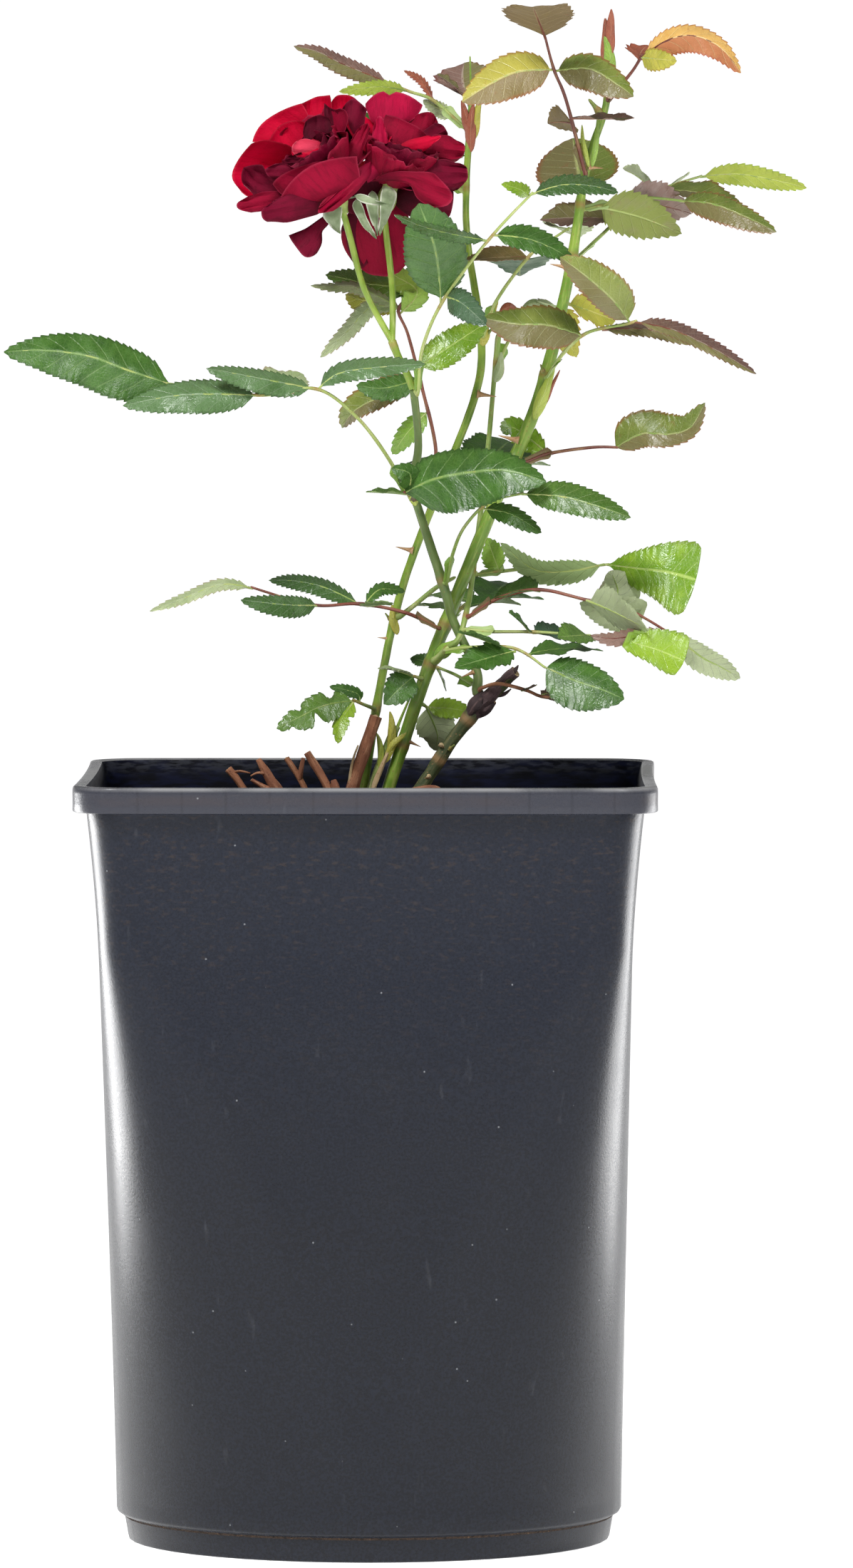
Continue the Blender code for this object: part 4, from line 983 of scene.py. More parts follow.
LEAVES = [
    Leaf("top_leaf", "main_cane", "OUKOM", [(71, 5, 451), (65, -6, 474), (61, -12, 484), (58, -16, 495)], [
        Blade(1.0, (-4, -27, 10), 0, 0.78, 0.1), Blade(0.77, (-30, -12, -10), 45, 0.58, 0.1),
        Blade(0.76, (25, -8, -8), 42, 0.52, 0.12), Blade(0.37, (-8, 15, 0), -50, 0.6),
        Blade(0.41, (21, -2, 0), 6, 0.45, 0)]),
    Leaf("gold_leaf", "main_cane", "AYR", [(79.5, 3, 474), (83, -2, 479), (87, -6, 484), (90, -10, 489)], [
        Blade(1.0, (31, -20, -6), 45, 0.62, 0.28), Blade(0.95, (12, -17, -2), 55, 0.6),
        Blade(0.9, (3, 18, 5), 20, 0.5, 0)]),
    Leaf("reach_leaf", "main_cane", "MLPKPE", [
        (68, 9, 422), (75, 18, 428), (85, 27, 437), (95, 33, 444), (110, 38, 449)], [
        Blade(0.43, (-26, -4, 0), 28, 0.6), Blade(0.45, (13, 18, 1), 38, 0.62, 0.08),
        Blade(0.72, (-11, 10, 8), -35, 0.6), Blade(0.74, (27, -9, -5), 22, 0.5, 0.1),
        Blade(0.77, (7, 18, 4), -30, 0.55, 0), Blade(1.0, (36, 6, -4), 24, 0.5)]),
    Leaf("droop_leaf", "main_cane", "KMK", [(71, 11, 438), (80, 17, 440), (90, 17, 442), (103, 13, 441)], [
        Blade(0.2, (28, 6, -9), -70, 0.5), Blade(0.42, (24, 10, -4), -60, 0.55),
        Blade(1.0, (31, -21, -10), 42, 0.55, 0.1)]),
    Leaf("moon_leaf", "main_cane", "K", [(71.5, 11, 448.5), (70, 20, 444)], [
        Blade(1.0, (-5, 26, 17), 0, 0.86)]),
    Leaf("spur_leaf", "bloom_cane", "DBSDFS", [
        (16, -17, 382), (18, -20, 393), (25, -28, 409), (40, -39, 429), (54, -44, 444)], [
        Blade(0.40, (-8, -10, 31), 85, 0.78), Blade(0.44, (7, -20, -7), 0, 0.75),
        Blade(0.74, (-30, -8, 8), 12, 0.5, 0.02), Blade(0.77, (21, 7, -8), 38, 0.58, 0.08),
        Blade(0.98, (-10, -12, 3), 12, 0.6, 0), Blade(1.0, (28, 14, -1), 16, 0.62, 0.12)]),
    Leaf("elbow_leaf", "main_cane", "KMKM", [
        (59, -2, 383), (64, -10, 391), (72, -17, 398), (85, -21, 401), (88, -22, 402)], [
        Blade(0.57, (-33, -13, 6), 48, 0.58, 0.08), Blade(0.73, (29, 9, -8), -12, 0.5),
        Blade(0.95, (-24, -16, 23), 62, 0.56), Blade(1.0, (38, -18, -16), 14, 0.5)]),
    Leaf("yellow_leaf", "side_cane", "YYP", [(42, 20, 385), (47, 25, 396), (56, 28, 403), (66, 30, 407)], [
        Blade(1.0, (16, 8, -6), 50, 0.62), Blade(0.93, (5, -5, -17), 70, 0.6),
        Blade(0.89, (-5, -17, 2), 25, 0.5, 0)]),
    Leaf("wing_leaf", "main_cane", "KFD", [(51, -1, 355), (60, 1, 358), (74, 0, 360), (82, -2, 360)], [
        Blade(1.0, (28, -14, 15), 40, 0.66, -0.14), Blade(0.3, (-17, 21, 8), 60, 0.75),
        Blade(0.25, (-15, 21, -4), 35, 0.5)]),
    Leaf("broad_leaf", "bloom_cane", "DDG", [(16, -13, 343.5), (15, -20, 345), (12, -26, 346)], [
        Blade(1.0, (47, -20, 5), 48, 0.58, 0.2), Blade(0.8, (-10, -9, 9), 30, 0.6),
        Blade(0.66, (-15, -5, 1), 8, 0.42)]),
    Leaf("front_leaf", "bloom_cane", "DG", [
        (26, -14, 316), (28, -20, 326), (32, -27, 335), (40, -34, 343), (51, -38, 346)], [
        Blade(0.70, (19, -1, -7), 18, 0.5), Blade(1.0, (35, -12, -6), 34, 0.5)]),
    Leaf("left_leaf", "bloom_cane", "SSSPD", [
        (13, -11, 346), (6, -18, 358), (-4, -25, 371), (-17, -32, 380), (-35, -40, 378),
        (-65, -45, 382)], [
        Blade(0.51, (-33, -17, 8), 18, 0.5), Blade(0.50, (32, 3, 8), 13, 0.5, 0.03),
        Blade(0.70, (-42, -16, -1), 26, 0.52, 0.02), Blade(0.72, (16, 24, 6), 24, 0.55),
        Blade(1.0, (-53, -15, 12), 36, 0.54, 0)]),
    Leaf("shade_leaf", "tall_cane", "FKDLGPPYL", [
        (21, 7, 345), (22, 3, 360), (18, 0, 378), (13, 0, 397), (10, -1, 406), (19, 6, 412)], [
        Blade(0.57, (22, 6, 11), 58, 0.6), Blade(0.52, (-27, 14, -18), 58, 0.55),
        Blade(0.52, (-19, -4, -4), 35, 0.6), Blade(0.38, (-13, 5, -16), -50, 0.5),
        Blade(1.0, (-35, 10, 4), 50, 0.5), Blade(0.84, (-30, -3, 7), -22, 0.42, 0.12),
        Blade(0.84, (-26, 5, -17), -42, 0.42), Blade(0.84, (-19, 23, 2), 50, 0.55, 0),
        Blade(0.81, (8, 17, 3), -60, 0.6, 0)]),
    Leaf("sill_leaf", "main_cane", "SDGSP", [
        (22, -4, 301), (12, -11, 306), (-3, -16, 309), (-18, -24, 309), (-38, -30, 315)], [
        Blade(0.44, (-31, 20, 6), 24, 0.5, 0.1), Blade(0.42, (13, 15, 4), 15, 0.55),
        Blade(0.41, (7, -16, 2), 0, 0.5, 0), Blade(0.66, (-24, -23, 5), 30, 0.52, 0.1),
        Blade(1.0, (-32, -8, -6), 10, 0.46, 0.12)]),
    Leaf("low_leaf", "side_cane", "DPPPFPM", [
        (32, -9, 304), (43, -17, 311), (56, -23, 314), (71, -28, 311), (85, -33, 308),
        (101, -38, 299)], [
        Blade(0.37, (-16, 15, -4), 24, 0.55, 0.08), Blade(0.65, (17, 21, -14), -45, 0.5),
        Blade(0.58, (20, -18, -9), -58, 0.55), Blade(0.65, (0, 10, 11), 70, 0.62, 0),
        Blade(0.98, (-28, -6, 0), 48, 0.55, 0), Blade(1.0, (21, 12, -12), -48, 0.5),
        Blade(0.97, (-27, -1, 0), 0, 0.3)]),
    Leaf("twist_leaf", "side_cane", "GLF", [(36, 5, 318), (51, -2, 320), (64, -8, 320), (79, -15, 322)], [
        Blade(0.97, (-39, 11, 10), 30, 0.5, -0.14), Blade(0.19, (-4, 6, 11), 60, 0.6, 0),
        Blade(1.0, (26, -15, 1), 80, 0.8)]),
    Leaf("thin_leaf", "side_cane", "DBG", [(33, -16, 301), (40, -18, 300), (54, -20, 300), (73, -24, 299)], [
        Blade(0.54, (-7, -10, 7), 40, 0.55), Blade(0.56, (12, 12, -2), 30, 0.55),
        Blade(1.0, (-10, -16, 0), 30, 0.55)]),
    Leaf("oval_leaf", "side_cane", "DDDD", [(26, -14, 294), (33, -23, 295), (48, -29, 295), (58, -33, 289)], [
        Blade(0.61, (-15, -11, 6), 14, 0.5), Blade(0.72, (-20, -12, -5), 34, 0.5),
        Blade(0.82, (25, 8, 1), 14, 0.5), Blade(1.0, (26, -9, -7), 76, 0.62)]),
    Leaf("withered_leaf", "bloom_cane", "WWW", [
        (37, -12, 281), (43, -20, 283), (52, -24, 281), (57, -25, 279), (65, -26, 278)], [
        Blade(0.56, (5, -7, 2), 20, 0.4, 0), Blade(0.75, (9, 8, 2), 15, 0.4, 0),
        Blade(0.84, (4, -7, -1), 15, 0.4, 0)]),
    Leaf("eaten_leaf", "tall_cane", "DGF", [(1, 3, 274), (-2, -3, 275.5), (-5, -6, 277)], [
        Blade(0.78, (-11, 8, 2), 30, 0.55), Blade(0.95, (-25, -10, -7), 46, 0.6, 0.08),
        Blade(1.0, (-7, -8, -13), 60, 0.5, 0)]),
    Leaf("inner_leaf", "main_cane", "DP", [(17, -3, 284), (15, -8, 285)], [
        Blade(1.0, (-10, -7, -9), 62, 0.65), Blade(0.9, (-12, -9, 3), 10, 0.4)]),
    Leaf("tuck_leaf", "bloom_cane", "DG", [(33, -3, 282), (28, 6, 285), (20, 11, 288)], [
        Blade(1.0, (-7, 5, 2), 40, 0.6), Blade(0.87, (3, 4, -8), 50, 0.5)]),
    Leaf("hang_leaf", "main_cane", "FP", [(18, 4, 275), (19, 8, 274)], [
        Blade(0.9, (22, 7, -5), 50, 0.55), Blade(1.0, (3, 5, -16), -72, 0.9)]),
    Leaf("crest_leaf", "tall_cane", "MERP", [(32, 28, 465), (21, 33, 474), (13, 34, 477), (6, 33, 480)], [
        Blade(1.0, (-31, -11, 11), -35, 0.5, 0.08), Blade(0.79, (-22, -16, 0), 30, 0.55),
        Blade(0.49, (-11, 17, 10), 6, 0.4), Blade(0.22, (-11, 21, 4), -50, 0.6)]),
    Leaf("bronze_leaf", "tall_cane", "MM", [(34, 30, 467), (33, 34, 472), (32, 37, 475)], [
        Blade(1.0, (-1, 21, 12), 0, 0.75), Blade(0.95, (-10, -7, 8), 30, 0.5)]),
    Leaf("arm_leaf", "tall_cane", "OBP", [
        (38, 12, 397), (42, 10, 408), (53, 8, 423), (60, 11, 428), (66, 14, 432)], [
        Blade(0.65, (-22, -3, -1), 22, 0.55), Blade(0.64, (-3, 24, -6), 0, 0.8),
        Blade(1.0, (3, 26, -3), 0, 0.6)]),
]

LAYS = {
    ("broad_leaf", 0): Lay([(22, 350.5), (35, 353), (46, 353.5), (58.5, 350)], 7.6, 12.0, (9, -5), late=0.85),
    ("broad_leaf", 1): Lay([(14, 352), (8, 354)], 3.0, 4.0, (3, -2)),
    ("front_leaf", 1): Lay([(64, 345), (75.5, 342), (86, 338.5)], 4.6, 4.8, (5, -2)),
    ("front_leaf", 0): Lay([(47, 339), (57, 333)], 2.6, 3.2, (3, -2)),
    ("spur_leaf", 0): Lay([(22.3, 425), (17, 440.5)], 9.8, 10.2, (2, -2), late=1.2),
    ("spur_leaf", 1): Lay([(31, 408), (39, 401)], 4.0, 4.6, (4, -2)),
    ("spur_leaf", 2): Lay([(30, 430), (18, 433), (9, 437)], 1.6, 2.2, (7, -4)),
    ("spur_leaf", 3): Lay([(52, 429), (60, 426), (67, 422)], 4.2, 3.6, (4, -3)),
    ("spur_leaf", 4): Lay([(50, 445), (44, 447)], 2.2, 1.8, (5, -2)),
    ("spur_leaf", 5): Lay([(64, 446.5), (74, 446), (82, 444)], 3.0, 2.8, (7, -3)),
    ("wing_leaf", 0): Lay([(90, 364.5), (99, 364.5), (106, 367), (110.5, 375)], 7.4, 4.2, (4, -2), late=0.75),
    ("wing_leaf", 1): Lay([(48, 366), (44, 364)], 3.6, 4.2, (3, -2)),
    ("twist_leaf", 0): Lay([(66, 319.5), (54.5, 320), (43.5, 328.5)], 3.4, 3.8, (6, -4), upper=False),
    ("twist_leaf", 2): Lay([(88, 321), (98, 320), (107.5, 317.5)], 11.5, 12.5, (4, -6), belly=4, fan=True),
    ("low_leaf", 1): Lay([(87, 305.5), (78, 307), (69.5, 309)], 3.4, 6.0, (3, -3), upper=False),
    ("low_leaf", 3): Lay([(82, 313), (79.5, 320)], 6.0, 7.0, (3, 2), upper=False),
    ("low_leaf", 4): Lay([(86.5, 298.0), (95, 295.0), (103.5, 291.5)], 8.0, 5.6, (3, -4), fan=True),
    ("low_leaf", 6): Lay([(88, 299.5), (80, 298.5), (73, 299.5)], 2.2, 2.6, (3, -2), upper=False),
    ("low_leaf", 5): Lay([(109, 292.5), (115.5, 289), (122, 285)], 3.6, 4.4, (3, -2), upper=False),
    ("oval_leaf", 3): Lay([(67.5, 285), (76, 282.3), (84, 279)], 6.6, 9.0, (5, -3)),
    ("elbow_leaf", 0): Lay([(59, 400.5), (48.5, 401), (38, 403)], 6.0, 7.6, (6, -2)),
    ("elbow_leaf", 1): Lay([(92, 399), (106, 394)], 1.6, 2.2, (7, -2)),
    ("elbow_leaf", 2): Lay([(80, 409), (71, 417), (63, 423)], 7.2, 5.2, (3, -2)),
    ("elbow_leaf", 3): Lay([(100, 399), (113, 393), (127, 385)], 2.8, 2.0, (8, -3)),
    ("crest_leaf", 0): Lay([(-9, 486), (-17, 490), (-25, 492)], 2.4, 3.4, (4, -3)),
    ("crest_leaf", 1): Lay([(3, 478.5), (-10, 477)], 2.0, 2.6, (3, -2)),
    ("crest_leaf", 2): Lay([(17, 480.5), (11, 484)], 1.0, 1.2, (2, -1)),
    ("crest_leaf", 3): Lay([(23.5, 471), (17.5, 474)], 2.0, 2.6, (2, -1), upper=False),
    ("moon_leaf", 0): Lay([(68.6, 453), (67.2, 461.5)], 13.4, 13.8, (3, 3), late=0.85),
    ("gold_leaf", 0): Lay([(99, 494), (107, 495), (115.5, 491), (122, 483)], 3.4, 5.4, (6, -5)),
    ("gold_leaf", 1): Lay([(95, 487.5), (101, 487)], 3.2, 3.8, (3, -2)),
    ("top_leaf", 1): Lay([(49, 483.3), (39.5, 479), (31, 473.5)], 6.4, 7.8, (6, -2)),
    ("top_leaf", 2): Lay([(72.5, 484.3), (82, 479), (87, 475.3)], 4.8, 7.0, (5, -2)),
    ("reach_leaf", 5): Lay([(122, 449.5), (134, 447.5), (145, 445)], 3.4, 3.4, (6, -4)),
    ("droop_leaf", 2): Lay([(113, 440), (123.5, 436), (134, 431)], 3.6, 5.2, (6, -3)),
    ("left_leaf", 0): Lay([(-30, 382.5), (-42, 385), (-52, 387)], 2.6, 4.6, (6, -3)),
    ("left_leaf", 1): Lay([(-9, 385), (5, 387), (19, 388)], 3.2, 3.2, (6, -3)),
    ("left_leaf", 2): Lay([(-49, 378.5), (-63, 378), (-79, 375)], 4.4, 6.0, (6, -3)),
    ("left_leaf", 4): Lay([(-78, 386.5), (-90, 391), (-105, 393), (-117.5, 392.5)], 7.0, 10.2, (6, -3),
                          late=0.85),
    ("shade_leaf", 0): Lay([(28, 394), (39, 401)], 5.0, 5.4, (3, -2)),
    ("shade_leaf", 1): Lay([(-3, 373), (-9, 366)], 5.6, 3.4, (4, -2)),
    ("shade_leaf", 2): Lay([(5, 379.5), (-4, 380.5)], 3.2, 4.2, (3, -2)),
    ("shade_leaf", 3): Lay([(13, 365), (7.7, 357.5)], 3.0, 3.4, (2, -2)),
    ("shade_leaf", 4): Lay([(0, 413.5), (-7, 415), (-14.5, 416.5)], 4.4, 3.6, (5, -2)),
    ("shade_leaf", 5): Lay([(-3, 412.5), (-12, 413), (-19, 413.3)], 1.2, 2.2, (6, -3)),
    ("shade_leaf", 6): Lay([(1, 406), (-7, 398), (-16, 389.5)], 2.6, 2.6, (5, -3)),
    ("shade_leaf", 7): Lay([(4, 408), (-2, 408), (-8, 410)], 2.4, 4.8, (3, -2)),
    ("shade_leaf", 8): Lay([(16, 411), (9, 416), (2, 420)], 3.8, 4.2, (3, -2)),
    ("sill_leaf", 0): Lay([(-14, 314), (-24, 316), (-33, 316)], 2.2, 3.0, (5, -3)),
    ("sill_leaf", 1): Lay([(4, 313.5), (12, 312.5)], 1.8, 1.8, (4, -2)),
    ("sill_leaf", 3): Lay([(-27, 309.5), (-41, 311.5)], 2.6, 3.8, (5, -3)),
    ("sill_leaf", 4): Lay([(-48, 316), (-60, 311.5), (-71, 307.5)], 1.6, 1.8, (5, -3)),
    ("hang_leaf", 1): Lay([(22.6, 265), (21.5, 259.5)], 6.4, 6.0, (2, -1), upper=False),
    ("hang_leaf", 0): Lay([(26, 273.5), (34, 272)], 3.0, 3.0, (3, -2)),
    ("eaten_leaf", 0): Lay([(-4, 279), (-13, 281)], 1.6, 1.8, (2, -2)),
    ("eaten_leaf", 1): Lay([(-14, 275.5), (-22, 272), (-30, 268)], 4.2, 5.4, (3, -2),
                           bites=[(0.30, -1, 0.7), (0.52, 1, 0.85), (0.68, -1, 0.6), (0.84, 1, 0.5)]),
    ("eaten_leaf", 2): Lay([(-9, 270), (-10, 263)], 2.4, 2.8, (2, -1), bites=[(0.4, 1, 0.6)]),
}

REAR_LEAVES = [  # name, cane, where the stalk starts and ends, size of the end leaflet, pairs
    ("rear_high_leaf", "tall_cane", (31, 26, 444), (2, 58, 456), 34, 2),
    ("rear_mid_leaf", "tall_cane", (22, 12, 342), (36, 58, 350), 36, 2),
    ("rear_low_leaf", "main_cane", (26, 3, 301), (38, 46, 306), 30, 2),
]

JOINTS = {  # heights where leaves grew from each cane
    "main_cane": (262, 288, 301, 355, 383, 422, 438, 451, 474), "tall_cane": (274, 304, 345, 397, 444, 465),
    "old_cane": (246, 258, 271), "bloom_cane": (289, 316, 344, 346), "side_cane": (294, 304, 318, 352, 385),
}
TWIGS = [  # cane, bark, line: cut-back forks, torn fibres and leaf scars
    ("old_cane", Bark.CUT, [(34, -9.3, 272, 2.2), (36.8, -9.4, 275.8, 3.3), (40.5, -12, 278.8, 2.4),
                            (44, -14.3, 282.6, 2.0), (46, -15.8, 284.8, 1.8), (48.4, -17.2, 286.6, 1.9)]),
    ("old_cane", Bark.CUT, [(46.6, -15.6, 284.6, 1.1), (48.6, -17.2, 287.6, 0.7), (49.4, -17.8, 289, 0.15)]),
    ("old_cane", Bark.CUT, [(33.4, -10.6, 272.6, 1.2), (35.4, -11.8, 276, 2.3), (38.2, -11.4, 279.4, 1.2)]),
    ("old_cane", Bark.CUT, [(36, -9.4, 272, 1.0), (38.8, -10.8, 274.2, 1.8), (41.6, -12.4, 276.6, 0.7)]),
    ("old_cane", Bark.CUT, [(41, -12, 279, 1.0), (44.5, -13.2, 279.2, 0.7), (47, -14, 281, 0.2)]),
    ("old_cane", Bark.STRAW, [(12.4, -7.2, 243, 0.7), (12.2, -8.0, 243.6, 0.8), (12, -8.6, 244, 0.3)]),
    ("old_cane", Bark.STRAW, [(19.4, -7.6, 251.5, 0.7), (20, -8.4, 252, 0.8), (20.2, -9.0, 252.4, 0.3)]),
    ("old_cane", Bark.STRAW, [(24.4, -9.2, 262, 0.7), (23.8, -10.0, 262.4, 0.8), (23.6, -10.5, 262.8, 0.3)]),
    ("old_cane", Bark.DEAD, [(12, -6, 246, 0.9), (17, -8, 247.4, 1.3), (21.5, -8.5, 248, 0.9),
                             (23.5, -8, 248, 0.4)]),
    ("stub_left", Bark.DEAD, [(-44.8, -12.2, 253.4, 0.5), (-42, -12.6, 253.8, 0.4),
                              (-38.8, -13, 253.2, 0.25)]),
    ("stub_thick", Bark.DEAD, [(-30.5, -18.4, 247.4, 0.9), (-34.6, -19, 249.2, 0.8),
                               (-38.2, -19.4, 251.4, 0.6)]),
    ("stub_thick", Bark.DEAD, [(-33, -18.6, 253.4, 0.6), (-36.2, -19.4, 253.6, 0.4),
                               (-38.4, -20, 252.6, 0.25)]),
    ("stub_thin", Bark.DEAD, [(-22.6, -8.2, 251, 0.9), (-22, -8.8, 254.5, 0.8), (-21.4, -9, 258, 0.6)]),
    ("stub_near", Bark.DEAD, [(-10, -14.4, 244, 1.0), (-10.6, -15, 248.4, 1.5), (-11.4, -15, 251, 0.9)]),
    ("tall_stub", Bark.STRAW, [(-6.6, -4.4, 247, 0.5), (-5.4, -5.4, 256, 0.4), (-3.4, -5.8, 262, 0.3)]),
    ("shaggy_stub", Bark.LIME, [(8.4, 0.6, 264, 0.8), (10.4, 0.4, 270, 0.5), (13.8, 0.4, 278, 0.35)]),
    ("shaggy_stub", Bark.STRAW, [(1, -1, 246, 0.8), (3.2, -1.6, 252, 0.9), (7.4, -1.4, 262, 0.4)]),
]
HUSKS = [
    Husk("shaggy_stub", [(5.2, -1.4, 256), (8.2, -2.4, 262), (12.4, -2.2, 266)], 1.2, Tone.YELLOW, 40),
    Husk("shaggy_stub", [(3.6, -1.0, 254), (4.0, -2.2, 261), (2.6, -2.4, 266)], 1.0, Tone.LIME, 40),
    Husk("shaggy_stub", [(6.8, -1.2, 259), (7.8, -2.2, 267), (7.0, -2.0, 273)], 1.3, Tone.YELLOW, 50),
    Husk("main_cane", [(79.6, 3.0, 480), (79.2, 2.2, 489), (77.6, 2.2, 495)], 1.7, Tone.LIGHT),
    Husk("main_cane", [(78.6, 3.2, 481), (78.4, 3.4, 492), (77.8, 3.0, 501)], 1.9, Tone.RUST),
    Husk("main_cane", [(79.4, 2.6, 489), (79.6, 2.0, 497), (79.8, 1.4, 504)], 1.5, Tone.RUST, 40),
    Husk("main_cane", [(54.4, -1.6, 369), (57.8, -2.2, 378), (61.2, -2.4, 387)], 1.8, Tone.LIME, 65),
    Husk("main_cane", [(57.4, -0.4, 373), (59.8, -0.8, 379), (63.0, -0.8, 385.5)], 0.8, Tone.RUST, 60),
    Husk("main_cane", [(21.5, -3, 291), (25.5, -6.5, 293.5), (30, -10, 297)], 2.1, Tone.LIGHT, 60),
    Husk("main_cane", [(73.5, 4.0, 452), (75.0, 2.4, 461), (75.5, 2.6, 470)], 0.9, Tone.LIGHT, 60),
    Husk("main_cane", [(72.5, 4.4, 452), (70.6, 2.6, 460), (70.2, 2.8, 466)], 0.8, Tone.LIME, 60),
    Husk("tall_cane", [(33.0, 25.4, 462), (32.0, 24.2, 468), (30.4, 24.6, 474)], 1.5, Tone.RUST, 50),
    Husk("tall_cane", [(34.4, 25.4, 461), (35.4, 24.2, 469), (36.6, 24.4, 475)], 1.4, Tone.YELLOW, 50),
    Husk("tall_cane", [(33.6, 24.4, 457), (33.4, 23.6, 466), (34.4, 24.0, 473)], 1.6, Tone.RUST, 70),
    Husk("tall_cane", [(37.6, 13.6, 393), (37.8, 12.4, 398), (38.6, 12.6, 402.5)], 1.9, Tone.YELLOW, 70),
    Husk("tall_cane", [(9.4, 5.6, 298), (8.0, 4.6, 303), (7.6, 4.6, 308)], 1.3, Tone.YELLOW, 50),
    Husk("side_cane", [(41.6, 15.6, 381), (43.2, 14.6, 386), (43.6, 14.8, 391)], 1.5, Tone.PALE, 60),
    Husk("side_cane", [(43, 16, 403), (46, 15, 406), (49, 15.5, 405)], 1.4, Tone.RUST, 60),
    Husk("side_cane", [(42.5, 16, 398), (41, 15, 404), (42.5, 15.5, 408)], 1.1, Tone.YELLOW, 50),
    Husk("side_cane", [(50, 21, 404), (55, 19, 407), (60, 20, 404)], 1.5, Tone.PALE, 70),
    Husk("bloom_cane", [(15.6, -10.6, 341), (14.2, -11.8, 347), (14.6, -12.0, 352)], 1.7, Tone.LIME, 60),
    Husk("bloom_cane", [(14.6, -14.6, 376), (16.2, -15.8, 381), (16.8, -16.2, 386)], 1.2, Tone.LIME, 60),
]
ENDS = {"main_cane": "point", "tall_cane": "point", "side_cane": "point", "thin_shoot": "point",
        "bloom_cane": "round"}
RED_STALKS = {"shade_leaf", "sill_leaf", "low_leaf", "wing_leaf", "gold_leaf", "top_leaf", "broad_leaf"}
BUDS = [  # cane, height, direction, length
    ("main_cane", 469, (-0.9, -0.3, 0.9), 5.0), ("main_cane", 384, (-0.4, -0.9, 0.5), 3.0),
    ("tall_cane", 396, (0.8, -0.5, 0.7), 4.0), ("bloom_cane", 345, (-0.8, -0.6, 0.4), 3.5),
    ("old_cane", 262, (0.7, -0.6, 0.3), 3.0), ("tall_cane", 303, (-0.8, -0.5, 0.5), 2.6),
    ("main_cane", 262, (-0.7, -0.7, 0.4), 2.6), ("side_cane", 317, (-0.6, -0.6, 0.5), 2.2),
]


def rear_leaf(name: str, cane: str, start: Point, end: Point, size: float, pairs: int) -> Leaf:
    """A compound leaf by rule: leaflets in pairs along an arching stalk, and one at its end."""
    start, end = Vector(start), Vector(end)
    middle = start.lerp(end, 0.5) + Vector((0, 0, 4))
    ahead = (end - start).normalized()
    across = ahead.cross(Vector((0, 0, 1))).normalized()
    blades = [Blade(1.0, tuple(size * (ahead + Vector((0, 0, 0.1)))), 8, 0.58, 0.08)]
    for pair in range(pairs):
        for side in (-1, 1):
            reach = (0.82 - 0.12 * pair) * size * (0.45 * ahead + side * 0.85 * across)
            blades.append(Blade(0.72 - 0.34 * pair + 0.02 * side, tuple(reach), 8, 0.58, 0.08))
    return Leaf(name, cane, "DGDGD", [tuple(start), tuple(middle), tuple(end)], blades)


def rooted_line(spec: Cane, lines: dict[str, Sequence[Point]]) -> list[tuple]:
    """A cane's line: one that grows on another starts square to it and GAP clear of it."""
    if not spec.parent:
        return list(spec.line)
    foot = spec.line[0]
    centre, along, radius = nearest_on(lines[spec.parent], foot[:3])
    out = Vector(foot[:3]) - centre
    out = (out - along * out.dot(along)).normalized()
    start = centre + out * (radius + GAP)
    return [(*start, foot[3]), (*(start + 1.5 * out), foot[3])] + list(spec.line[1:])


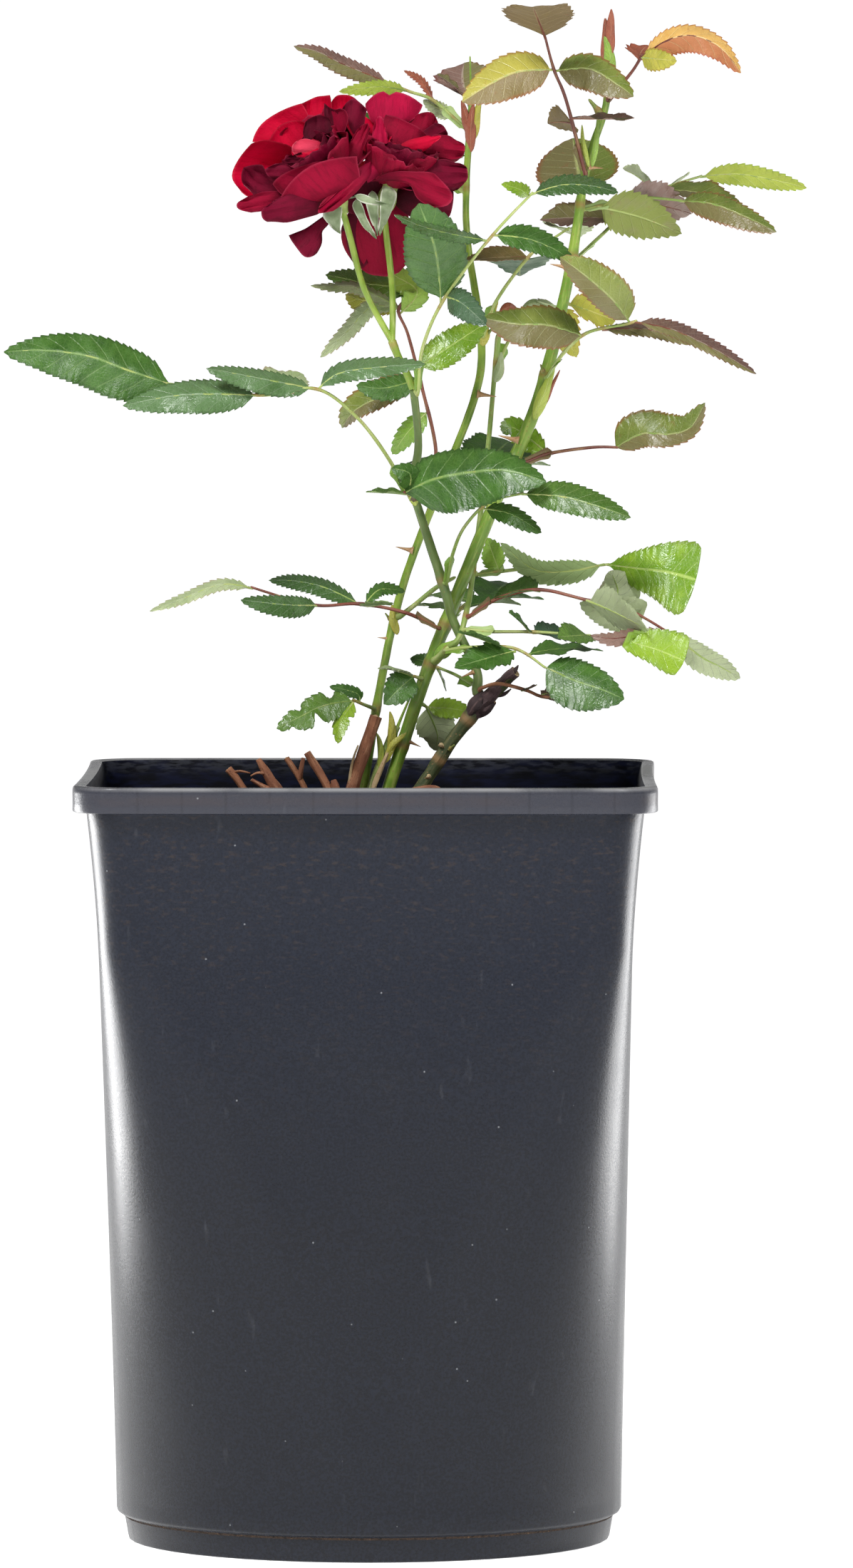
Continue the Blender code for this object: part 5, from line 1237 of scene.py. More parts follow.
@dataclass
class CaneSet:
    """Every cane and stub, with its joints, buds, cut ends and thorns."""

    canes: Sequence[Cane]
    lines: dict[str, list] = field(default_factory=dict)

    def fine(self, name: str) -> list[tuple]:
        """A cane's smooth line, in short steps."""
        return [tuple(row) for row in resample(self.lines[name], 2.0)]

    def grow(self) -> list[Object]:
        """Makes each cane's piece."""
        made = []
        for number, spec in enumerate(self.canes):
            self.lines[spec.name] = rooted_line(spec, self.lines)
            draft = Draft(spec.name)
            dead = spec.bark is Bark.DEAD
            Stem(self.lines[spec.name], spec.bark, sides=20, step=0.9, joints=self.shares(spec.name),
                 rough=0.035 if dead or spec.bark is Bark.OLD else 0.012, tip=ENDS.get(spec.name, "cut"),
                 flat_foot=not spec.parent, seed=number + 3).grow(draft)
            for cane, height, way, length in BUDS:
                if cane == spec.name:
                    self.bud(draft, height, Vector(way).normalized(), length)
            for cane, bark, line in TWIGS:
                if cane == spec.name:
                    Stem(line, bark, sides=12, step=0.7, rough=0.07, tip="cut", seed=len(line)).grow(draft)
            for husk in HUSKS:
                if husk.cane == spec.name:
                    husk.grow(draft)
            made.append(draft.build())
        return made

    def shares(self, name: str) -> list[float]:
        """The shares of a cane's length at which its joints lie."""
        line = resample(self.lines[name], 1.0)
        run = np.linspace(0, 1, len(line))
        return [float(run[np.argmin(np.abs(line[:, 2] - z))]) for z in JOINTS.get(name, ())]

    def seat(self, cane: str, height: float, way: Vector) -> tuple[Vector, Vector]:
        """A point on a cane's skin at this height on this side of it, and the direction out of it."""
        line = self.fine(cane)
        spot = min(range(len(line) - 1), key=lambda i: abs(line[i][2] - height))
        centre = Vector(line[spot][:3])
        along = (Vector(line[spot + 1][:3]) - centre).normalized()
        out = (way - along * way.dot(along)).normalized()
        return centre + out * (0.75 * line[spot][3]), out

    def bud(self, draft: Draft, height: float, way: Vector, length: float) -> None:
        """A pointed bud of three overlapping scales, low on the cane's skin."""
        foot, out = self.seat(draft.name, height, way)
        head = (out + Vector((0, 0, 0.9))).normalized()
        for number, (share, wide) in enumerate(((0.55, 0.30), (0.8, 0.27), (1.0, 0.22))):
            reach = head * (length * share)
            line = [(*foot, 0.5 * wide * length), (*(foot + 0.35 * reach), wide * length),
                    (*(foot + 0.7 * reach), 0.7 * wide * length), (*(foot + reach), 0.12 * length)]
            Stem(line, Bark.BUD, sides=10, step=0.5, tip="point", seed=number).grow(draft)

    def thorns(self) -> Object:
        """All the thorns, set on the canes by Geometry Nodes."""
        rows = []
        for cane, height, way, length in THORNS:
            foot, out = self.seat(cane, height, Vector(way))
            rows.append((foot, (Vector(way).normalized() + out).normalized(), length))
        return Scatter("thorns", self.thorn_shape()).on_points(rows, "green_cane")

    @staticmethod
    def thorn_shape() -> Object:
        """One flat hooked thorn, THORN_LENGTH long and pointing up, with a long oval base."""
        draft = Draft("thorn_shape")
        rows = [(-0.08, 0.30, 0.80, 0.0), (0.02, 0.20, 0.62, 0.0), (0.15, 0.14, 0.42, 0.02),
                (0.35, 0.10, 0.26, 0.05),
                (0.6, 0.065, 0.15, 0.12), (0.82, 0.04, 0.08, 0.20), (1.0, 0.01, 0.015, 0.30)]
        turn = np.linspace(0, 2 * pi, 12, endpoint=False)
        points = [(thin * cos(a), 0.55 * tall * sin(a) - hook, z) for z, thin, tall, hook in rows
                  for a in turn]
        faces = capped_faces(len(rows), len(turn))
        draft.add(np.array(points) * THORN_LENGTH, faces, [Bark.THORN.skin], [0] * len(faces))
        return draft.shape()


class Scatter:
    """Geometry Nodes that set copies of a shape on points or over faces, real once made.

    Each group takes a geometry, the shape or collection of shapes, a density and a seed.
    """

    def __init__(self, name: str, shape: Object | bpy.types.Collection) -> None:
        self.name = name
        self.shape = shape

    def group(self, kind: str) -> tuple[bpy.types.NodeTree, bpy.types.Node, bpy.types.Node]:
        """An empty group with a geometry going in and out and an input for the shape."""
        tree = bpy.data.node_groups.new(self.name, "GeometryNodeTree")
        tree.interface.new_socket("Geometry", in_out="INPUT", socket_type="NodeSocketGeometry")
        tree.interface.new_socket("Shape", in_out="INPUT", socket_type=kind)
        tree.interface.new_socket("Density", in_out="INPUT", socket_type="NodeSocketFloat")
        tree.interface.new_socket("Seed", in_out="INPUT", socket_type="NodeSocketInt")
        tree.interface.new_socket("Geometry", in_out="OUTPUT", socket_type="NodeSocketGeometry")
        return tree, tree.nodes.new("NodeGroupInput"), tree.nodes.new("NodeGroupOutput")

    def close(self, tree, instances, last, skin: Material) -> None:
        """Ends the group: real copies with their finish."""
        real = add_node(tree, "GeometryNodeRealizeInstances", {"Geometry": instances}).outputs[0]
        smooth = add_node(tree, "GeometryNodeSetShadeSmooth", {"Geometry": real}).outputs[0]
        done = add_node(tree, "GeometryNodeSetMaterial", {"Geometry": smooth, "Material": skin}).outputs[0]
        tree.links.new(done, last.inputs[0])

    def run(self, carrier: bpy.types.Mesh, tree, values: dict[str, object], slot: str) -> Object:
        """Runs the group on a carrier mesh, and keeps the result as a piece."""
        obj = bpy.data.objects.new(self.name, carrier)
        bpy.context.scene.collection.objects.link(obj)
        tool = obj.modifiers.new("scatter", "NODES")
        tool.node_group = tree
        for item in tree.interface.items_tree:
            if item.in_out == "INPUT" and item.name in values:
                tool[item.identifier] = values[item.name]
        shapes = list(self.shape.objects) if isinstance(self.shape, bpy.types.Collection) else [self.shape]
        apply_modifiers(obj, shapes)
        obj.data.name = self.name
        place_piece(obj)
        return obj

    def on_points(self, rows: Sequence[tuple[Vector, Vector, float]], slot: str) -> Object:
        """Sets the shape on each (place, heading, length)."""
        carrier = bpy.data.meshes.new(self.name)
        carrier.from_pydata([tuple(MM * v for v in place) for place, _, _ in rows], [], [])
        carrier.attributes.new("heading", "FLOAT_VECTOR", "POINT").data.foreach_set(
            "vector", [v for _, heading, _ in rows for v in heading])
        lengths = carrier.attributes.new("length", "FLOAT", "POINT").data
        lengths.foreach_set("value", [row[2] / THORN_LENGTH for row in rows])
        tree, first, last = self.group("NodeSocketObject")
        shape = add_node(tree, "GeometryNodeObjectInfo", {"Object": first.outputs["Shape"]})
        heading = add_node(tree, "GeometryNodeInputNamedAttribute", {"Name": "heading"},
                           data_type="FLOAT_VECTOR")
        length = add_node(tree, "GeometryNodeInputNamedAttribute", {"Name": "length"}, data_type="FLOAT")
        turn = add_node(tree, "FunctionNodeAlignRotationToVector", {"Vector": heading.outputs[0]}, axis="Z")
        copies = add_node(tree, "GeometryNodeInstanceOnPoints", {
            "Points": first.outputs[0], "Instance": shape.outputs["Geometry"], "Rotation": turn.outputs[0],
            "Scale": length.outputs[0]})
        self.close(tree, copies.outputs[0], last, Bark.THORN.skin)
        return self.run(carrier, tree, {"Shape": self.shape}, slot)

    def over_faces(self, carrier: bpy.types.Mesh, density: float, seed: int, skin, slot: str) -> Object:
        """Strews the shapes over a mesh's faces, turned and sized at random from the seed."""
        tree, first, last = self.group("NodeSocketCollection")
        strewn = add_node(tree, "GeometryNodeDistributePointsOnFaces", {
            "Mesh": first.outputs[0], "Density": first.outputs["Density"], "Seed": first.outputs["Seed"]})
        shapes = add_node(tree, "GeometryNodeCollectionInfo", {
            "Collection": first.outputs["Shape"], "Separate Children": True, "Reset Children": True})
        turn = add_node(tree, "FunctionNodeRandomValue", {0: (-0.7, -0.7, 0.0), 1: (0.7, 0.7, 6.28),
                                                          "Seed": first.outputs["Seed"]},
                        data_type="FLOAT_VECTOR")
        size = add_node(tree, "FunctionNodeRandomValue", {2: 0.35, 3: 1.25, "Seed": first.outputs["Seed"]})
        copies = add_node(tree, "GeometryNodeInstanceOnPoints", {
            "Points": strewn.outputs[0], "Instance": shapes.outputs[0], "Pick Instance": True,
            "Rotation": turn.outputs[0], "Scale": size.outputs[1]})
        self.close(tree, copies.outputs[0], last, skin)
        return self.run(carrier, tree, {"Shape": self.shape, "Density": density, "Seed": seed}, slot)


# ---------------------------------------------------------------- pot and compost


@dataclass(frozen=True)
class PotSize:
    """The pot's sizes: a round foot that lofts up to a rounded square mouth."""

    height: float = 252.7
    foot_radius: float = 79.6
    foot_height: float = 8.0
    wall_foot: float = 10.0
    wall_foot_radius: float = 83.4
    wall_top: float = 244.0
    wall_half_width: float = 87.4
    flare: float = 3.0
    flare_height: float = 50.0
    rim_half_width: float = 95.0
    rim_corner: float = 16.0
    rim_bow: float = 0.8
    lip: float = 4.4
    wall: float = 1.8
    flat: float = 1.5
    floor: float = 3.0
    holes: int = 8
    hole_radius: float = 6.0
    hole_circle: float = 60.0


@once
def pot_plastic() -> Material:
    """Charcoal plastic from a textured mould: bluish mottling, brown specks, scuffs, a fine grain and a
    painted highlight along the top of the lip.
    """
    art, size = Sketch("charcoal_plastic_mottled_mould_grain"), PotSize()
    place = art.place()
    x, y, z = art.split(place)
    mottle = art.noise(place, 0.9, 4)
    broad = art.noise(place, 30.0, 4)
    cool = art.ramp(art.plus(z, art.by(broad, 60.0)), 120, 250)
    base = art.blend(cool, "#14161D", "#101522")
    colour = art.blend(art.ramp(mottle, 0.38, 0.66, 0.0, 0.26), base, "#2B3140")
    brown = art.ramp(art.noise(art.times(place, (0.4, 0.4, 1)), 1.2, 4), 0.52, 0.74, 0.0, 0.34)
    colour = art.blend(art.by(brown, art.ramp(z, 130, 240, 0.1, 1.0)), colour, "#46392F")
    rim = art.ramp(z, size.wall_top - 0.2, size.wall_top + 0.6)
    colour = art.blend(art.by(rim, 0.75), colour, "#41424A")
    marks = art.math("ABSOLUTE", art.math("SINE", art.by(art.plus(x, y), pi / 14.0)))
    colour = art.blend(art.by(rim, art.ramp(marks, 0.16, 0.03, 0.0, 0.30)), colour, "#25262C")
    rust = art.by(art.ramp(z, 246.0, 248.0), art.ramp(z, 251.0, 249.0))
    colour = art.blend(art.by(rust, art.ramp(broad, 0.40, 0.60, 0.0, 0.12)), colour, "#5E4A3C")
    rub = art.noise(art.times(place, (0.5, 0.5, 0.14)), 2.2, 4)
    colour = art.blend(art.ramp(rub, 0.66, 0.80, 0.0, 0.16), colour, "#6A6C72")
    specks = art.cells(place, 9.0, "F1")
    colour = art.blend(art.ramp(specks, 0.045, 0.02, 0.0, 0.5), colour, "#9DA0A4")
    # The top of the lip is painted light grey in patches: a painted highlight along the pot's top edge.
    painted_lip_highlight = art.by(art.ramp(z, size.height - 1.8, size.height - 0.3), art.ramp(broad, 0.35, 0.60, 0.25, 0.75))
    colour = art.blend(painted_lip_highlight, colour, "#9A9A9B")
    height = art.plus(art.noise(place, 0.6, 3), mottle)
    rough = art.ramp(art.plus(mottle, broad), 0.7, 1.3, 0.25, 0.33)
    return art.finish(colour, rough, art.bump(height, 0.03), specular_ior_level=0.24)


@once
def pot_inside() -> Material:
    """The same plastic inside, painted near-black blue as the shade in the pot's hollow, with a scuffed band
    under the lip.
    """
    art = Sketch("charcoal_plastic_damp_inside")
    place = art.place((0.25, 0.25, 1))
    z = art.split(art.place())[2]
    # The near-black colour is painted shade inside the pot.
    colour = art.blend(art.ramp(art.noise(place, 1.8, 4), 0.35, 0.70), "#06070F", "#10142A")
    worn = art.by(art.ramp(z, 246.0, 251.0), art.ramp(art.noise(place, 1.2, 4), 0.42, 0.60))
    colour = art.blend(art.by(worn, 0.22), colour, "#5A5D68")
    return art.finish(colour, 0.55, art.bump(art.noise(place, 0.8, 3), 0.05), specular_ior_level=0.08)


@dataclass(frozen=True)
class Pot:
    """The pot: foot, wall, rim band and lip outside, an offset surface inside, and drain holes."""

    size: PotSize = PotSize()

    def ring(self, half: float, corner: float, bow: float, count: int = 12, side: int = 16) -> list[tuple]:
        """A rounded square, bowed out by bow at the front and back and in at its sides."""
        inner = max(half - corner, self.size.flat)
        corner = half - inner
        points = []
        for quarter in range(4):
            turn = quarter * pi / 2
            swell = bow if quarter % 2 == 0 else -bow
            run = [(inner + corner * cos(pi / 2 * i / count), inner + corner * sin(pi / 2 * i / count))
                   for i in range(count + 1)]
            run += [(inner * (1 - 2 * i / side), half + swell * (1 - (1 - 2 * i / side) ** 2))
                    for i in range(1, side)]
            points += [(x * cos(turn) - y * sin(turn), x * sin(turn) + y * cos(turn)) for x, y in run]
        return points

    def outer(self, z: float) -> tuple[float, float]:
        """The outer wall's half width and corner radius at this height."""
        size = self.size
        share = (z - size.wall_foot) / (size.wall_top - size.wall_foot)
        flare = size.flare * max(0, 1 - (size.wall_top - z) / size.flare_height) ** 1.6
        half = size.wall_foot_radius + (size.wall_half_width - size.wall_foot_radius) * share + flare
        square = min(1, max(0, share / 0.8)) ** 1.3
        return half, half * (1 - square) + (size.rim_corner - 1) * square

    def inner(self, z: float) -> tuple[float, float]:
        """The inner wall's half width and corner radius at this height."""
        size = self.size
        if z < size.foot_height:
            return size.foot_radius - size.wall, size.foot_radius - size.wall
        half, corner = self.outer(z)
        return half - size.wall, corner - size.wall

    def levels(self) -> list[tuple]:
        """The rings as (z, half width, corner, bow), up the outside and down the inside."""
        size = self.size
        foot, top = size.foot_radius, size.height
        rim, corner, bow = size.rim_half_width - 0.2, size.rim_corner, size.rim_bow
        made = [(z, r, r, 0.0) for z, r in (
            (0.0, foot - 0.7), (0.25, foot - 0.2), (0.8, foot), (7.2, foot + 1.1), (7.9, foot + 1.2),
            (8.2, foot + 1.5), (8.9, foot + 2.9), (9.4, foot + 3.5))]
        heights = np.linspace(size.wall_foot, size.wall_top - 0.4, 48)
        made += [(z, *self.outer(z), 0.0) for z in heights]
        wall = self.outer(size.wall_top)[0]
        made += [(243.9, wall + 0.2, corner, 0.1), (244.0, wall + 0.9, corner, bow),
                 (244.1, rim - 0.7, corner, bow), (244.35, rim - 0.15, corner, bow),
                 (244.8, rim, corner, bow), (247.0, rim - 0.05, corner, bow), (250.4, rim, corner, bow),
                 (top - 0.9, rim - 0.05, corner, bow), (top - 0.35, rim - 0.3, corner, bow),
                 (top - 0.05, rim - 0.9, corner, bow), (top, rim - 1.5, corner, bow),
                 (top - 0.1, rim + 0.9 - size.lip, corner - 2, bow),
                 (top - 0.5, rim + 0.3 - size.lip, corner - 2, bow),
                 (top - 1.6, rim - 0.2 - size.lip, corner - 2, bow),
                 (size.wall_top, wall - size.wall, corner - 2, 0.0)]
        made += [(z, *self.inner(z), 0.0) for z in reversed(heights[::4])]
        return made + [(size.floor, *self.inner(size.floor), 0.0)]

    def drill(self, number: int) -> Object:
        """The drill for one of the drain holes: a plain cylinder through the floor."""
        size, sides = self.size, 24
        angle = 2 * pi * (number + 0.5) / size.holes
        x, y = size.hole_circle * cos(angle), size.hole_circle * sin(angle)
        turn = np.linspace(0, 2 * pi, sides, endpoint=False)
        points = [(x + size.hole_radius * cos(a), y + size.hole_radius * sin(a), z)
                  for z in (-2, size.floor + 2) for a in turn]
        faces = capped_faces(2, sides)
        draft = Draft(f"drill_{number}")
        draft.add(points, faces, [pot_plastic()], [0] * len(faces))
        return draft.shape()

    def build(self) -> Object:
        """Makes the pot's piece."""
        levels = self.levels()
        draft = loft("pot", levels, self.ring, pot_plastic())
        draft.skins.append(pot_inside())
        lip, across = levels.index(max(levels)) + 2, len(self.ring(1, 1, 0))
        draft.slots[lip * across : -2] = [1] * (len(draft.slots) - 2 - lip * across)
        pot = draft.build(32.0)
        drills = [self.drill(number) for number in range(self.size.holes)]
        for drill in drills:
            cut = pot.modifiers.new(drill.name, "BOOLEAN")
            cut.operation, cut.object = "DIFFERENCE", drill
        apply_modifiers(pot, drills)
        return pot


def loft(name: str, levels: Sequence[tuple], ring: Callable, skin: Material) -> Draft:
    """A closed shape through the rings at these levels, each (z, half width, corner, bow)."""
    points = [(x, y, z) for z, half, corner, bow in levels for x, y in ring(half, corner, bow)]
    faces = capped_faces(len(levels), len(points) // len(levels))
    draft = Draft(name)
    draft.add(points, faces, [skin], [0] * len(faces))
    return draft


@once
def bark_compost() -> Material:
    """Damp composted bark: near-black crumbs with tan fibres."""
    art = Sketch("composted_bark_damp_crumbs")
    place = art.place()
    crumbs = art.cells(place, 1.6, "F1")
    colour = art.blend(art.ramp(crumbs, 0.1, 0.6), "#1D1612", "#3A2C22")
    fibre = art.noise(art.times(place, (1, 0.25, 1)), 1.0, 4)
    colour = art.blend(art.ramp(fibre, 0.58, 0.72, 0.0, 0.6), colour, "#6A5038")
    height = art.plus(crumbs, art.noise(place, 0.6, 4))
    return art.finish(colour, 0.92, art.bump(height, 0.5))


@dataclass(frozen=True)
class Compost:
    """The compost that fills the pot, its crumbly top, and the bark chips on it."""

    pot: Pot
    top: float = SOIL_TOP
    levels: Sequence[float] = (8.2, 10, 60, 110, 160, 200, 222)  # where its side has rings of points
    rings: int = 26
    chips_per_square_metre: float = 60000.0
    seed: int = 11

    def height(self, x: float, y: float) -> float:
        """How far the top stands above or below its level."""
        waves = (sin(x / 17.0 + 1.1) * cos(y / 23.0) + 0.5 * sin(x / 6.1 - y / 7.3)
                 + 0.3 * cos(x / 3.1 + y / 2.7))
        near = max(0.0, 1 - (x * x + y * y) / 3600.0)
        return -0.9 + 0.9 * waves - 0.8 * near

    def build(self) -> list[Object]:
        """Makes the body and the chips."""
        low = self.pot.size.floor + GAP
        levels = []
        for z in (low, *self.levels):
            half, corner = self.pot.inner(z)
            levels.append((z, half - GAP, corner - GAP, 0.0))
        half, corner = self.pot.inner(self.top)
        edge = (half - GAP - 0.2, corner - GAP, 0.0)
        levels.append((self.top - 3.0, *edge))
        draft = loft("compost", levels + [(self.top - 1.0, *edge)], self.pot.ring, bark_compost())
        draft.faces.pop()
        draft.slots.pop()
        ring = np.array(self.pot.ring(*edge))
        count = len(ring)
        top = [(x, y, self.top - 1.0 if i == 0 else self.top + self.height(x, y))
               for i in range(self.rings + 1) for x, y in ring * (1 - i / (self.rings + 1))]
        faces = tube_faces(self.rings + 1, count)
        faces.append(tuple(range(self.rings * count, (self.rings + 1) * count)))
        carrier = bpy.data.meshes.new("bark_chips")
        carrier.from_pydata([tuple(MM * v for v in p) for p in top], [], faces)
        start = draft.count - count
        shifted = [tuple(start + i for i in face) for face in faces]
        draft.points.append(np.array(top[count:]))
        draft.grain.append(draft.points[-1])
        draft.looks.append(np.zeros_like(draft.points[-1]))
        draft.faces += shifted
        draft.slots += [0] * len(shifted)
        chips = Scatter("bark_chips", self.chip_shapes()).over_faces(
            carrier, self.chips_per_square_metre, self.seed, bark_chip(), "compost")
        return [draft.build(80.0), chips]

    def chip_shapes(self) -> bpy.types.Collection:
        """Five flat angular shards of bark."""
        group, draw = bpy.data.collections.new("chip_shapes"), Random(self.seed)
        bpy.context.scene.collection.children.link(group)
        for number in range(5):
            sides = draw.choice((5, 6, 7))
            long_, wide, tall = draw.uniform(2.2, 4.2), draw.uniform(1.0, 1.8), draw.uniform(0.5, 0.9)
            turns = [2 * pi * (i + draw.uniform(-0.25, 0.25)) / sides for i in range(sides)]
            points = [(long_ * k * cos(a), wide * k * sin(a), tall * z + draw.uniform(-0.1, 0.1))
                      for z, k in ((-0.5, 0.8), (0.1, 1.0), (0.5, 0.7)) for a in turns]
            faces = capped_faces(3, sides)
            draft = Draft(f"chip_{number}")
            draft.add(points, faces, [bark_chip()], [0] * len(faces))
            shape = draft.shape()
            for user in list(shape.users_collection):
                user.objects.unlink(shape)
            group.objects.link(shape)
        return group


@once
def bark_chip() -> Material:
    """Dry bark shards: brown fibres along the grain."""
    art = Sketch("bark_chips_dry_fibrous")
    place = art.place()
    fibre = art.noise(art.times(place, (1, 1, 0.3)), 0.9, 4)
    colour = art.blend(art.ramp(fibre, 0.35, 0.65), "#2A1F18", "#5A4330")
    colour = art.blend(art.ramp(art.noise(place, 9.0), 0.5, 0.7, 0.0, 0.6), colour, "#7A5F44")
    return art.finish(colour, 0.88, art.bump(fibre, 0.3))


# ---------------------------------------------------------------- blooms


class Hue(Enum):
    """The colours of a petal: its face near the base and near the rim, its back, and its rim line, which is a
    painted highlight. Apart from magenta and pink, the hues are one velvet red, painted darker for petals
    that lie in more shade: scarlet is that red in full light.
    """

    SCARLET = ("#96001E", "#C40030", "#A60028", "#D83A54")
    CRIMSON = ("#5C041C", "#8E082C", "#7A0628", "#AE3650")
    WINE = ("#400416", "#700828", "#5C0620", "#98304A")
    MAGENTA = ("#7A082A", "#B00E3C", "#8E0832", "#C84464")
    SHADE = ("#30040F", "#560820", "#48061C", "#7E1A32")
    PINK = ("#B81E3A", "#D83E58", "#C03050", "#EE7A8C")

    @property
    def skins(self) -> tuple[Material, Material]:
        """The petal's face and back."""
        return petal_skin(self, True), petal_skin(self, False)


@once
def petal_skin(hue: Hue, face: bool) -> Material:
    """Velvety petal skin: darker to its base, fine veins that fan along it, and a thin lighter rim that is a
    painted highlight.
    """
    base, tip, back, rim = hue.value
    art = Sketch(f"rose_petal_{hue.name.lower()}_{'velvet_face' if face else 'silky_back'}")
    side, along, _ = art.split(art.attribute("looks"))
    grain = art.attribute("grain")
    cloud = art.noise(grain, 6.0)
    deep = art.plus(along, art.by(art.less(cloud, 0.5), 0.9))
    colour = art.blend(art.ramp(deep, 0.10, 0.75), base if face else back, tip)
    colour = art.blend(art.by(art.ramp(art.plus(side, cloud), 1.05, 1.45), 0.45), colour, base)
    veins = art.noise(art.times(grain, (1, 1, 0.12)), 0.8, 3)
    colour = art.blend(art.ramp(veins, 0.50, 0.70, 0.0, 0.35), colour, base)
    colour = art.blend(art.ramp(art.noise(grain, 2.5, 4), 0.62, 0.80, 0.0, 0.3), colour, base)
    # The thin lighter line along the rim is a painted highlight on the petal's edge.
    edge = art.math("MAXIMUM", art.ramp(along, 0.965, 1.0), art.ramp(side, 0.95, 1.0))
    colour = art.blend(art.by(edge, 0.45), colour, rim)
    normal = art.bump(art.plus(veins, art.noise(grain, 0.5)), 0.12)
    return art.finish(colour, 0.70 if face else 0.55, normal, specular_ior_level=0.10, sheen_weight=0.06,
                      sheen_roughness=0.35, sheen_tint=linear("#E0304A"))


PETAL_OUTLINE = ((0.0, 0.15, 0.30, 0.48, 0.65, 0.80, 0.92, 1.0),
                 (0.26, 0.46, 0.70, 0.90, 1.0, 0.99, 0.90, 0.72))


@dataclass(frozen=True)
class Petal:
    """A broad cupped petal, hollow towards the bloom's axis.

    Its length and width are in mm. `bow` is how far it bulges out, `cup` how far its sides stand in,
    `roll` how far its rim turns back, `ruffle` the height of its waves, each over its length, and
    `notch` how deep the middle of its rim dips.
    """

    foot: Vector
    out: Vector
    axis: Vector
    length: float
    width: float
    hue: Hue
    bow: float = 0.10
    cup: float = 0.30
    roll: float = 0.12
    ruffle: float = 0.035
    notch: float = 0.05
    seed: float = 0.0
    thick: float = 0.35

    def grow(self, draft: Draft) -> None:
        """Adds the petal to the draft."""
        draw = Random(self.seed)
        ahead = self.out.normalized()
        inward = (self.axis - ahead * self.axis.dot(ahead)).normalized()
        across = np.array(ahead.cross(inward))
        ahead, inward = np.array(ahead), np.array(inward)
        t = np.linspace(0, 1, 15)[:, None] ** 0.92
        s = np.sin(np.linspace(-pi / 2, pi / 2, 15))[None, :]
        half = np.interp(t, *PETAL_OUTLINE) * self.width / 2
        rim = 1 - 0.20 * s ** 2 - self.notch * np.exp(-(s / 0.22) ** 2)
        along = t * (1 - (1 - rim) * t ** 2) * self.length
        late = np.clip((t - 0.62) / 0.38, 0, 1)
        lift = -4 * self.bow * self.length * t * (1 - t) + self.cup * half * s ** 2
        lift = lift - self.roll * self.length * late ** 2 * (1 + draw.uniform(-0.5, 0.8) * s)
        wave = draw.uniform(2.0, 3.2) * pi
        lift = lift + self.ruffle * self.length * t ** 3 * (
            np.sin(wave * s + draw.uniform(0, 6)) + 0.5 * np.sin(2.3 * wave * s + draw.uniform(0, 6)))
        lift = lift + 0.02 * self.length * np.abs(s) ** 3 * np.sin(9 * t + draw.uniform(0, 6))
        lift = lift + 0.012 * self.length * np.sin(5 * s * pi + draw.uniform(0, 6)) * t * (1 - 0.5 * t)
        side = half * s * (1 - 0.10 * late ** 2)
        points = (np.array(self.foot) + ahead * along[..., None] + across * side[..., None]
                  + inward * lift[..., None])
        chance = draw.random()
        looks = on_grid(side.shape, np.abs(s), t, chance)
        grain = on_grid(side.shape, side, 40 * chance, along)
        Sheet(points, normals_of(points), self.thick, self.hue.skins, grain, looks).grow(draft)


